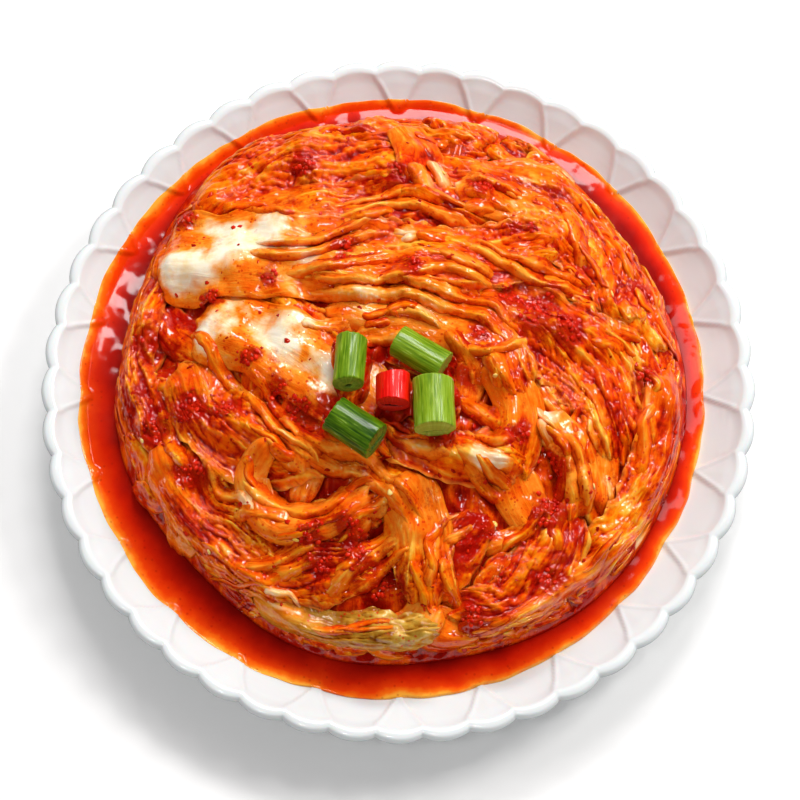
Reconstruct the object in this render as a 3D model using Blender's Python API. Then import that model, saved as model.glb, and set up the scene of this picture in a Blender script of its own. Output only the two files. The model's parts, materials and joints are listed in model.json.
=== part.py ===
"""Kimchi heaped in its red sauce on a scalloped porcelain plate, with spring onion and chili on top.

Metres, +Z up.  The origin is the centre of the plate's foot.  +X is the diner's right and +Y is away.
"""
import math

import bmesh
import bpy
import numpy as np
from mathutils import Matrix, Vector
from mathutils.bvhtree import BVHTree

MM = 0.001
GAP = 0.3 * MM                     # clearance between pieces that touch
TINY = 0.001 * MM

# --- plate ---------------------------------------------------------------------------------------
SEGMENTS = 96                      # divisions round the plate's wall and flange
FACETS = 24                        # raised triangles round the flange
SCALLOPS = 2 * FACETS              # petals of the edge, every second one over a triangle
SCALLOP_DEPTH = 1.8 * MM           # how far the notches cut into the edge
FACET_RAISE = 0.9 * MM             # how far a triangle stands out of the flange
FACET_SIDE = 0.55                  # height of its sides as a share of that
FACET_TIP = 94.0 * MM              # radius of its tip
FACET_BASE = 105.8 * MM            # radius of its base
EDGE_RADIUS = 110.6 * MM           # outermost reach of a petal
FLOOR_THICKNESS = 3.4 * MM
WELL_HEIGHT = 5.6 * MM             # top of the flat floor
WELL_RADIUS = 62.0 * MM
FOOT_OUTER = 70.0 * MM
FOOT_INNER = 64.0 * MM
# Radius and height of the upper face from the floor's edge to the crest of the lip.
UPPER_PROFILE = [(62.0, 5.6), (75.0, 7.2), (85.0, 10.0), (94.0, 13.7), (100.5, 18.0), (105.8, 22.2)]
# Radius and height of the lip, rolled from its crest round to the underside.
LIP_PROFILE = [(108.2, 24.3), (110.6, 23.4), (110.6, 21.3)]
# Radius and height of the underside from the lip in to the foot.
UNDER_PROFILE = [(105.5, 18.2), (98.0, 13.0), (87.0, 7.8), (77.0, 4.2), (71.0, 3.0)]

# --- sauce ---------------------------------------------------------------------------------------
SAUCE_LEVEL = 16.0 * MM
SAUCE_EDGE = 0.4 * MM              # thickness the pool runs out to
POOL_STEP = 0.4 * MM               # least width of a strip of the pool's underside

# --- heap ----------------------------------------------------------------------------------------
HEAP_RADIUS = 89.0 * MM            # mean radius of the uneven outline
# Waves of the outline: waves round the heap, size, and the direction in degrees of the first crest.
OUTLINE_WAVES = [(1, 3.7, 80.0), (2, 1.8, 122.0), (3, 0.7, 102.0), (5, 0.8, 53.0), (6, 1.2, 9.0)]
OVERHANG = 2.4 * MM                # how far the leaves lean out over the sauce
SHOULDER_HEIGHT = 20.0 * MM        # height at which the heap is widest
HEAP_RISE = 28.0 * MM              # from the shoulder to the crown, without the leaves on top
DOME_POWER = 2.2
DOME_ROUNDNESS = 0.75
CRUMPLE = 1.8 * MM                 # height of the packed cabbage's bumps
RING_STEPS = [0.985, 0.93]
INNER_RING_STEPS = [0.84, 0.74, 0.62, 0.48, 0.32, 0.15]

# --- leaves laid over the heap -------------------------------------------------------------------
# They are laid in this order, each over what is already there.  Each has its path in mm, its half
# width at start, middle and end, its thickness at both ends, its ribs and the stations on its path.
LEAVES = {
    "leaf_left": dict(path=[(-79, 36), (-82, 8), (-75, -18)], width=(8, 8, 7),
                      thick=(3.0, 3.0), ribs=2, steps=6, skin="leaf"),
    "leaf_back": dict(path=[(-64, 57), (-36, 72), (-2, 75), (28, 69)], width=(12, 15, 11),
                      thick=(3.5, 3.5), ribs=3, steps=7, skin="leaf"),
    "leaf_back_lobe": dict(path=[(1, 84), (5, 74), (8, 60)], width=(7, 8, 7),
                           thick=(3.5, 3.5), ribs=2, steps=5, skin="leaf"),
    "leaf_back_inner": dict(path=[(-50, 50), (-24, 55), (6, 53), (28, 50)], width=(7, 9, 7),
                            thick=(3.5, 3.0), ribs=2, steps=7, skin="leaf"),
    "leaf_upper_right": dict(path=[(18, 60), (42, 58), (62, 42), (74, 18)], width=(11, 16, 11),
                             thick=(4.0, 3.0), ribs=3, steps=7, skin="leaf"),
    "leaf_shoulder": dict(path=[(22, 20), (46, 12), (62, -4), (69, -26)], width=(11, 16, 10),
                          thick=(4.0, 3.0), ribs=3, steps=7, skin="leaf"),
    "leaf_right": dict(path=[(83, 4), (80, -26), (67, -48), (48, -65)], width=(8, 10, 9),
                       thick=(3.0, 3.5), ribs=2, steps=8, skin="leaf"),
    "leaf_lower_right": dict(path=[(16, -74), (34, -70), (46, -56), (48, -40)], width=(8, 12, 9),
                             thick=(3.0, 3.5), ribs=3, steps=7, skin="leaf"),
    "leaf_under": dict(path=[(-44, -66), (-24, -75), (-4, -78), (12, -77)], width=(4, 5, 4),
                       thick=(3.0, 3.0), ribs=2, steps=6, skin="green"),
    "leaf_fan": dict(path=[(-72, -20), (-61, -43), (-37, -58), (-8, -61)], width=(9, 12, 9),
                     thick=(3.5, 3.5), ribs=3, steps=8, skin="leaf"),
    "leaf_left_shoulder": dict(path=[(-66, 4), (-56, -13), (-40, -25), (-18, -28)],
                               width=(11, 13, 9), thick=(4.0, 3.5), ribs=3, steps=7, skin="leaf"),
    "leaf_folded": dict(path=[(-36, -23), (-45, -33), (-38, -46), (-22, -48), (-9, -38)],
                        width=(5, 6, 5), thick=(4.0, 4.0), ribs=2, steps=9, skin="leaf"),
    "leaf_lobe": dict(path=[(27, 2), (36, -14), (34, -34)], width=(7, 9, 7),
                      thick=(3.5, 3.5), ribs=2, steps=6, skin="leaf"),
    "leaf_pulled": dict(path=[(2, -34), (7, -52), (10, -72)], width=(9, 11, 8),
                        thick=(4.0, 3.5), ribs=3, steps=6, skin="leaf"),
    "leaf_stem_right": dict(path=[(44, -14), (53, -28), (53, -46)], width=(5, 6, 4),
                            thick=(4.0, 3.5), ribs=2, steps=6, skin="stem"),
    "leaf_strands": dict(path=[(-22, 18), (4, 16), (27, 8), (37, -9)], width=(7, 9, 7),
                         thick=(3.5, 3.5), ribs=3, steps=7, skin="leaf"),
    "leaf_white_lower": dict(path=[(-62, 19), (-36, 4), (-10, -13), (18, -29), (38, -30)],
                             width=(11, 12, 7), thick=(6.0, 3.5), ribs=3, steps=9, skin="stem"),
    "leaf_white_upper": dict(path=[(-71, 43), (-42, 37), (0, 32), (48, 38)], width=(12, 15, 9),
                             thick=(6.5, 3.5), ribs=4, steps=9, skin="stem"),
}
LEAF_FREE = 0.88                   # share of the outline within which leaves lie as drawn
LEAF_SQUEEZE = 0.095               # share of the outline over which they are drawn in beyond that
LEAF_EDGE = 0.8 * MM               # thickness a leaf keeps at its edge
RIB_SHARE = 0.28                   # height of a rib as a share of the leaf's thickness
RUFFLE = 0.07                      # waviness of a leaf's edge as a share of its width
BED_SAMPLES = (-1.0, -0.5, 0.0, 0.5, 1.0)   # where the bed is measured, in steps of a leaf's grid

# --- garnish -------------------------------------------------------------------------------------
# Centre in mm, direction of the axis in degrees from +X, tilt of the near end in degrees, length,
# outer radius and wall in mm.
ONION_PIECES = {
    "onion_a": dict(at=(-14.2, -2.6), turn=-94.0, tilt=9.0, length=15.5, radius=4.8, wall=1.5),
    "onion_b": dict(at=(6.6, 1.2), turn=-32.0, tilt=3.0, length=16.5, radius=4.9, wall=1.5),
    "onion_c": dict(at=(-13.0, -22.8), turn=-35.0, tilt=3.0, length=16.0, radius=5.6, wall=1.6),
    "onion_d": dict(at=(10.4, -16.6), turn=-88.0, tilt=6.0, length=15.5, radius=6.2, wall=1.7),
}
CHILI_PIECE = dict(at=(-1.6, -11.6), turn=-90.0, tilt=8.0, length=9.6, radius=4.9, wall=1.3)
GARNISH_GAP = 0.45 * MM            # clearance kept below a piece, measured at points of its wall
TUBE_SEGMENTS = 16
TUBE_BULGE = 0.04                  # how much a piece swells between its cut ends

SKINS = {
    "porcelain": ("#EEEBEC", 0.12),
    "sauce": ("#B01E06", 0.10),
    "heap": ("#C8480E", 0.32),
    "leaf": ("#E2690F", 0.28),
    "stem": ("#F6D9AE", 0.25),
    "green": ("#D9A32B", 0.28),
    "onion": ("#4E8A16", 0.30),
    "chili": ("#E0140A", 0.18),
}


def clear_scene():
    for obj in list(bpy.data.objects):
        bpy.data.objects.remove(obj, do_unlink=True)


def linear(channel):
    """One sRGB channel as the linear value the shader takes."""
    return channel / 12.92 if channel <= 0.04045 else ((channel + 0.055) / 1.055) ** 2.4


def make_material(skin):
    if skin in bpy.data.materials:
        return bpy.data.materials[skin]
    code, roughness = SKINS[skin]
    rgb = [linear(int(code[i:i + 2], 16) / 255.0) for i in (1, 3, 5)]
    mat = bpy.data.materials.new(skin)
    mat.use_nodes = True
    shader = mat.node_tree.nodes["Principled BSDF"]
    shader.inputs["Base Color"].default_value = (*rgb, 1.0)
    shader.inputs["Roughness"].default_value = roughness
    shader.inputs["Metallic"].default_value = 0.0
    return mat


def make_object(name, points, faces, skin, sharp_angle):
    """A closed mesh object with its faces turned outward and its hard edges marked."""
    mesh = bpy.data.meshes.new(name)
    mesh.from_pydata([tuple(p) for p in points], [], faces)
    bm = bmesh.new()
    bm.from_mesh(mesh)
    bmesh.ops.recalc_face_normals(bm, faces=bm.faces)
    bm.to_mesh(mesh)
    bm.free()
    mesh.shade_smooth()
    mesh.set_sharp_from_angle(angle=math.radians(sharp_angle))
    mesh.materials.append(make_material(skin))
    obj = bpy.data.objects.new(name, mesh)
    bpy.context.scene.collection.objects.link(obj)
    return obj


def bridge(outer, inner):
    """Faces between two rings of point numbers; the counts are equal, one is 1, or 2 to 1."""
    if len(inner) > len(outer):
        outer, inner = inner, outer
    count = len(outer)
    if len(inner) == 1:
        return [(outer[i], outer[(i + 1) % count], inner[0]) for i in range(count)]
    faces = []
    if len(inner) == count:
        for i in range(count):
            j = (i + 1) % count
            # The diagonal leaves the first ring's even point, where a triangle of the flange has its tip.
            if i % 2:
                faces += [(outer[i], outer[j], inner[i]), (outer[j], inner[j], inner[i])]
            else:
                faces += [(outer[i], outer[j], inner[j]), (outer[i], inner[j], inner[i])]
        return faces
    for i, here in enumerate(inner):
        there = inner[(i + 1) % len(inner)]
        a, b, c = outer[2 * i], outer[2 * i + 1], outer[(2 * i + 2) % count]
        faces += [(a, b, here), (b, there, here), (b, c, there)]
    return faces


def ring_solid(name, rings, skin, sharp_angle=40.0):
    """A closed solid skinned over rings that run from the pole on top to the pole beneath, or in a loop."""
    points = []
    numbers = []
    for ring in rings:
        numbers.append(list(range(len(points), len(points) + len(ring))))
        points += ring
    faces = []
    for above, below in zip(numbers, numbers[1:]):
        faces += bridge(above, below)
    if len(numbers[0]) > 1:
        faces += bridge(numbers[0], numbers[-1])
    return make_object(name, points, faces, skin, sharp_angle)


def polar(radius, angle, height):
    return Vector((radius * math.cos(angle), radius * math.sin(angle), height))


def circle(radius, height, count):
    return [polar(radius, 2 * math.pi * i / count, height) for i in range(count)]


# --- plate ---------------------------------------------------------------------------------------

def beside_facet(segment):
    """Steps from the middle of the nearest raised triangle, with their sign."""
    every = SEGMENTS // FACETS
    return (segment + every // 2) % every - every // 2


def facet_lift(segment, radius):
    """Height a raised triangle adds at one of the SEGMENTS directions; its tip points to the middle."""
    steps = abs(beside_facet(segment))
    if steps > 1 or radius < FACET_TIP - TINY:
        return 0.0
    if steps == 0:
        return FACET_RAISE
    return FACET_RAISE * FACET_SIDE if radius > FACET_TIP + TINY else 0.0


def flange_angle(segment, radius):
    """Direction of a point of the flange, drawn in to the straight side of a raised triangle."""
    steps = beside_facet(segment)
    angle = 2 * math.pi * segment / SEGMENTS
    if abs(steps) == 1 and FACET_TIP + TINY < radius < FACET_BASE - TINY:
        share = (radius - FACET_TIP) / (FACET_BASE - FACET_TIP)
        angle -= steps * (1.0 - share) * 2 * math.pi / SEGMENTS
    return angle


def plate_height(segment, radius):
    """Height of the plate's upper face in one direction, straight between the profile's points."""
    if radius <= WELL_RADIUS:
        return WELL_HEIGHT
    radii = [r * MM for r, _ in UPPER_PROFILE]
    heights = [h * MM + facet_lift(segment, r * MM) for r, h in UPPER_PROFILE]
    return float(np.interp(radius, radii, heights))


def scalloped(radius, angle):
    """The radius drawn in at the notches between the petals; full at EDGE_RADIUS, less further in."""
    petal = abs(math.cos(0.5 * SCALLOPS * angle))
    share = max(0.0, (radius - 0.9 * EDGE_RADIUS) / (0.1 * EDGE_RADIUS))
    return radius - SCALLOP_DEPTH * share * (1.0 - petal)


def build_plate():
    half = SEGMENTS // 2
    rings = [[Vector((0, 0, WELL_HEIGHT))], circle(WELL_RADIUS, WELL_HEIGHT, half)]
    for radius, height in UPPER_PROFILE[1:]:
        ring = []
        for i in range(SEGMENTS):
            angle = flange_angle(i, radius * MM)
            lift = facet_lift(i, radius * MM)
            ring.append(polar(scalloped(radius * MM, angle), angle, height * MM + lift))
        rings.append(ring)
    for radius, height in LIP_PROFILE:
        ring = []
        for i in range(2 * SEGMENTS):
            angle = math.pi * i / SEGMENTS
            ring.append(polar(scalloped(radius * MM, angle), angle, height * MM))
        rings.append(ring)
    for radius, height in UNDER_PROFILE[:-1]:
        ring = []
        for i in range(SEGMENTS):
            angle = 2 * math.pi * i / SEGMENTS
            ring.append(polar(scalloped(radius * MM, angle), angle, height * MM))
        rings.append(ring)
    rings.append(circle(UNDER_PROFILE[-1][0] * MM, UNDER_PROFILE[-1][1] * MM, half))
    recess = WELL_HEIGHT - FLOOR_THICKNESS
    rings.append(circle(FOOT_OUTER, 0.5 * MM, half))
    rings.append(circle(FOOT_OUTER - 0.8 * MM, 0.0, half))
    rings.append(circle(FOOT_INNER + 0.8 * MM, 0.0, half))
    rings.append(circle(FOOT_INNER, 0.5 * MM, half))
    rings.append(circle(FOOT_INNER - 1.0 * MM, recess, half))
    rings.append([Vector((0, 0, recess))])
    return ring_solid("plate", rings, "porcelain")


# --- heap and sauce ------------------------------------------------------------------------------

def outline(angle):
    """The heap's reach in one direction, where it is widest."""
    waves = sum(s * math.cos(n * (angle - math.radians(at))) for n, s, at in OUTLINE_WAVES)
    return HEAP_RADIUS + waves * MM


def sauce_reach(segment):
    """Radius at which the pool runs out on the plate's wall."""
    low, high = WELL_RADIUS, UPPER_PROFILE[-1][0] * MM
    for _ in range(40):
        middle = 0.5 * (low + high)
        if plate_height(segment, middle) + GAP + SAUCE_EDGE < SAUCE_LEVEL:
            low = middle
        else:
            high = middle
    return low


def waterline(segment):
    """The heap's radius where it stands in the sauce."""
    reach = outline(2 * math.pi * segment / SEGMENTS) - OVERHANG
    return min(reach, sauce_reach(segment) - 2.2 * MM)


def crumple(x, y):
    """Soft bumps of the cabbage packed in the heap."""
    u, v = x / MM, y / MM
    first = math.sin(0.21 * u + 1.3 * math.sin(0.09 * v)) * math.cos(0.17 * v - 0.06 * u)
    second = math.sin(0.38 * u - 0.27 * v + 1.1) * math.cos(0.31 * v + 0.12 * u)
    return CRUMPLE * (0.7 * first + 0.3 * second)


def heap_height(x, y):
    """Height of the heap's top at a point of the plan."""
    share = min(1.0, math.hypot(x, y) / outline(math.atan2(y, x)))
    dome = HEAP_RISE * (1.0 - share ** DOME_POWER) ** DOME_ROUNDNESS
    return SHOULDER_HEIGHT + dome + crumple(x, y) * (1.0 - share ** 6)


def heap_ring(share, count):
    ring = []
    for i in range(count):
        angle = 2 * math.pi * i / count
        radius = outline(angle) * share
        x, y = radius * math.cos(angle), radius * math.sin(angle)
        ring.append(Vector((x, y, heap_height(x, y))))
    return ring


def standing_ring(height_at):
    """A ring at the waterline, its heights given by a function of the direction."""
    ring = []
    for i in range(SEGMENTS):
        angle = 2 * math.pi * i / SEGMENTS
        ring.append(polar(waterline(i), angle, height_at(i)))
    return ring


def build_heap():
    half = SEGMENTS // 2
    rings = [[Vector((0, 0, heap_height(0, 0)))]]
    rings += [heap_ring(share, half) for share in reversed(INNER_RING_STEPS)]
    rings += [heap_ring(share, SEGMENTS) for share in reversed(RING_STEPS)]
    rings.append(heap_ring(1.0, SEGMENTS))
    rings.append(standing_ring(lambda i: SAUCE_LEVEL + 0.8 * MM))
    rings.append(standing_ring(lambda i: plate_height(i, waterline(i)) + GAP))
    inner_floor = [r * MM for r, _ in UPPER_PROFILE[1:2]]
    for radius in inner_floor:
        ring = []
        for i in range(SEGMENTS):
            ring.append(polar(radius, 2 * math.pi * i / SEGMENTS, plate_height(i, radius) + GAP))
        rings.append(ring)
    rings.append(circle(WELL_RADIUS, WELL_HEIGHT + GAP, half))
    rings.append([Vector((0, 0, WELL_HEIGHT + GAP))])
    return ring_solid("kimchi_heap", rings, "heap", 75.0)


def build_sauce():
    """The pool between the heap and the plate's wall, up to its level."""
    top_inner, top_outer, edge, bend, bottom = [], [], [], [], []
    for i in range(SEGMENTS):
        angle = 2 * math.pi * i / SEGMENTS
        near = waterline(i) + GAP
        far = sauce_reach(i)
        middle = min(max(FACET_TIP, near + POOL_STEP), far - POOL_STEP)
        top_inner.append(polar(near, angle, SAUCE_LEVEL))
        top_outer.append(polar(far, angle, SAUCE_LEVEL))
        edge.append(polar(far, angle, plate_height(i, far) + GAP))
        bend.append(polar(middle, angle, plate_height(i, middle) + GAP))
        bottom.append(polar(near, angle, plate_height(i, near) + GAP))
    return ring_solid("sauce", [top_inner, top_outer, edge, bend, bottom], "sauce", 30.0)


# --- leaves --------------------------------------------------------------------------------------

def along(path, share):
    """Point and direction on a smooth curve through the path's points."""
    knots = [Vector((x * MM, y * MM)) for x, y in path]
    knots = [2 * knots[0] - knots[1], *knots, 2 * knots[-1] - knots[-2]]
    position = share * (len(path) - 1)
    index = min(int(position), len(path) - 2)
    t = position - index
    a, b, c, d = knots[index:index + 4]
    point = 0.5 * (2 * b + (c - a) * t + (2 * a - 5 * b + 4 * c - d) * t ** 2
                   + (3 * b - a - 3 * c + d) * t ** 3)
    slope = 0.5 * ((c - a) + 2 * (2 * a - 5 * b + 4 * c - d) * t + 3 * (3 * b - a - 3 * c + d) * t ** 2)
    return point, slope.normalized()


def surface_height(tree, x, y):
    """Height of a piece's top at a point of the plan, or zero beside it."""
    hit = tree.ray_cast(Vector((x, y, 1.0)), Vector((0, 0, -1)))[0]
    return hit.z if hit is not None else 0.0


def on_leaf(path, width, share, v):
    """Plan position at a share of the leaf's length and, from -1 to 1, across it."""
    share = min(max(share, 0.0), 1.0)
    point, slope = along(path, share)
    side = Vector((-slope.y, slope.x))
    half = np.interp(share, (0.0, 0.5, 1.0), width) * MM
    half *= max(0.45, (1.0 - abs(2 * share - 1) ** 6) ** 0.5)
    half *= 1.0 + RUFFLE * math.sin(19.0 * share + 2.0 * v)
    spot = point + side * (v * half)
    # Near the heap's outline the leaf is drawn in, so that it ends on the heap and not in the air.
    reach = outline(math.atan2(spot.y, spot.x))
    over = spot.length / reach - LEAF_FREE
    if over > 0.0:
        spot *= (LEAF_FREE + LEAF_SQUEEZE * (1.0 - math.exp(-over / LEAF_SQUEEZE))) * reach / spot.length
    return spot


def build_leaf(name, below, path, width, thick, ribs, steps, skin):
    """A ribbed leaf draped over the pieces below it, rounded off at both ends."""
    across = 2 * ribs + 1
    upper, lower = [], []
    for i in range(steps):
        share = i / (steps - 1)
        depth = np.interp(share, (0.0, 1.0), thick) * MM
        depth *= max(0.3, (1.0 - abs(2 * share - 1) ** 8))
        for j in range(across):
            v = 2 * j / (across - 1) - 1
            x, y = on_leaf(path, width, share, v)
            floor = 0.0
            for along_step in BED_SAMPLES:
                for across_step in BED_SAMPLES:
                    spot = on_leaf(path, width, (i + along_step) / (steps - 1),
                                   v + 2 * across_step / (across - 1))
                    floor = max([floor] + [surface_height(tree, *spot) for tree in below])
            floor += GAP
            arch = LEAF_EDGE + (depth - LEAF_EDGE) * (1.0 - abs(v) ** 3)
            rib = RIB_SHARE * depth if j % 2 else 0.0
            lower.append(Vector((x, y, floor)))
            upper.append(Vector((x, y, floor + arch + rib - RIB_SHARE * depth * (1.0 - abs(v)))))
    return grid_solid(name, upper, lower, steps, across, skin)


def grid_solid(name, upper, lower, rows, columns, skin):
    """A solid between two matching grids of points."""
    points = upper + lower
    base = len(upper)
    faces = []
    for i in range(rows - 1):
        for j in range(columns - 1):
            a = i * columns + j
            b, c, d = a + 1, a + columns + 1, a + columns
            faces += [(a, b, c), (a, c, d), (base + a, base + c, base + b), (base + a, base + d, base + c)]
    rim = list(range(columns)) + [i * columns + columns - 1 for i in range(1, rows)]
    rim += [(rows - 1) * columns + j for j in range(columns - 2, -1, -1)]
    rim += [i * columns for i in range(rows - 2, 0, -1)]
    for here, there in zip(rim, rim[1:] + rim[:1]):
        faces += [(here, base + here, base + there), (here, base + there, there)]
    return make_object(name, points, faces, skin, 60.0)


# --- garnish -------------------------------------------------------------------------------------

def tube_rings(length, radius, wall):
    """Rings of a hollow cut piece that lies along its own X axis, as a loop from outside to inside."""
    half = 0.5 * length * MM
    soft = 0.3 * MM
    inner = (radius - wall) * MM
    outer = radius * MM
    stations = [(-half, outer - soft), (-half + soft, outer), (half - soft, outer * (1 + TUBE_BULGE)),
                (half, outer), (half, inner), (-half, inner)]
    rings = []
    for x, r in stations:
        turn = [2 * math.pi * i / TUBE_SEGMENTS for i in range(TUBE_SEGMENTS)]
        rings.append([Vector((x, r * math.cos(a), r * math.sin(a))) for a in turn])
    return rings


def drop_onto(points, below):
    """How far the points can sink before one comes within the clearance of the pieces below."""
    room = 1.0
    for point in points:
        for tree in below:
            hit = tree.ray_cast(Vector((point.x, point.y, 1.0)), Vector((0, 0, -1)))[0]
            if hit is not None:
                room = min(room, point.z - hit.z)
    return room - GARNISH_GAP


def build_tube(name, skin, below, at, turn, tilt, length, radius, wall):
    """A hollow cut piece laid down on the pieces below it."""
    rings = tube_rings(length, radius, wall)
    pose = Matrix.Rotation(math.radians(turn), 4, "Z") @ Matrix.Rotation(math.radians(-tilt), 4, "Y")
    pose = Matrix.Translation((at[0] * MM, at[1] * MM, 0.1)) @ pose
    rings = [[pose @ p for p in ring] for ring in rings]
    # Points between the rings are measured too, so that no bump comes through the wall.
    probes = []
    for first, second in zip(rings[:3], rings[1:4]):
        for p, q in zip(first, second):
            probes += [p.lerp(q, k / 8) for k in range(9)]
    drop = drop_onto(probes, below)
    rings = [[p - Vector((0, 0, drop)) for p in ring] for ring in rings]
    return ring_solid(name, rings, skin, 50.0)


def tree_of(obj):
    mesh = obj.data
    return BVHTree.FromPolygons([v.co for v in mesh.vertices], [p.vertices for p in mesh.polygons])


def build():
    clear_scene()
    build_plate()
    heap = build_heap()
    build_sauce()
    below = [tree_of(heap)]
    for name, sizes in LEAVES.items():
        below.append(tree_of(build_leaf(name, below, **sizes)))
    for name, sizes in ONION_PIECES.items():
        build_tube(name, "onion", below, **sizes)
    build_tube("chili", "chili", below, **CHILI_PIECE)


build()
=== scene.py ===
"""Kimchi heaped in its sauce on a scalloped porcelain plate, with spring onion and chili on top.

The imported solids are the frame.  Every piece here is built over them, in metres, +Z up, with the origin
at the centre of the plate's foot.  Leaf paths and the heap's outline repeat the sizes of the solids.
"""
import json
import math

import bmesh
import bpy
import numpy as np
from bpy.props import FloatProperty, FloatVectorProperty, IntProperty, PointerProperty
from mathutils import Matrix, Vector

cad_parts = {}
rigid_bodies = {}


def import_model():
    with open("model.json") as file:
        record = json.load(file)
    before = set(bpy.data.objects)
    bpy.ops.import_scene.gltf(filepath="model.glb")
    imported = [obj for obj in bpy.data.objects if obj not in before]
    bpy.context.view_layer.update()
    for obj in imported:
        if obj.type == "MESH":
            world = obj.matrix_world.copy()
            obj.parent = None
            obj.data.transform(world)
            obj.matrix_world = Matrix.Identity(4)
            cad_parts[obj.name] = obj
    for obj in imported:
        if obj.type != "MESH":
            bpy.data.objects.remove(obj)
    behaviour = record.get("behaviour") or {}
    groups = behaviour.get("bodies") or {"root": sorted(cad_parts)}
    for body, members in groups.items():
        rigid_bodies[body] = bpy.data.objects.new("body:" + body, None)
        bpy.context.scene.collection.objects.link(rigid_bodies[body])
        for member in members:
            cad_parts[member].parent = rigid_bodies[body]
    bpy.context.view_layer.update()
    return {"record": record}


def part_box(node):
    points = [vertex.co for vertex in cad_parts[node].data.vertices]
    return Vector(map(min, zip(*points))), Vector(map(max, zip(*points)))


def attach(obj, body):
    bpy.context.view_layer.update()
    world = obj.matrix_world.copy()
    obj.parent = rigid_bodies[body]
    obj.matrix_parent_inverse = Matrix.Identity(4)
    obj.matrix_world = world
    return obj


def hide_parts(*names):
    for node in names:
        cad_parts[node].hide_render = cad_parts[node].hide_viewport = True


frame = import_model()
PLATE_LOW, PLATE_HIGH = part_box("plate")
SAUCE_LOW, SAUCE_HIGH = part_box("sauce")

bl_info = {
    "name": "Kimchi plate",
    "version": (1, 0, 0),
    "blender": (4, 5, 0),
    "location": "View3D > Sidebar > Kimchi",
    "description": "Builds a plate of kimchi with its sauce and garnish",
    "category": "Add Mesh",
}

MM = 0.001

# --- sizes shared with the solids ----------------------------------------------------------------
PLATE_RADIUS = PLATE_HIGH[0]
SAUCE_LEVEL = SAUCE_HIGH[2]
WELL_RADIUS = 62.0
FACETS = 24
SCALLOPS = 2 * FACETS
# Radius and height in mm of the plate's upper face, its rolled lip and its underside.
UPPER_PROFILE = [(62.0, 5.6), (75.0, 7.2), (85.0, 10.0), (94.0, 13.7), (100.5, 18.0), (105.8, 22.2)]
FACET_TIP = 94.0
FACET_BASE = 105.8

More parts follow.
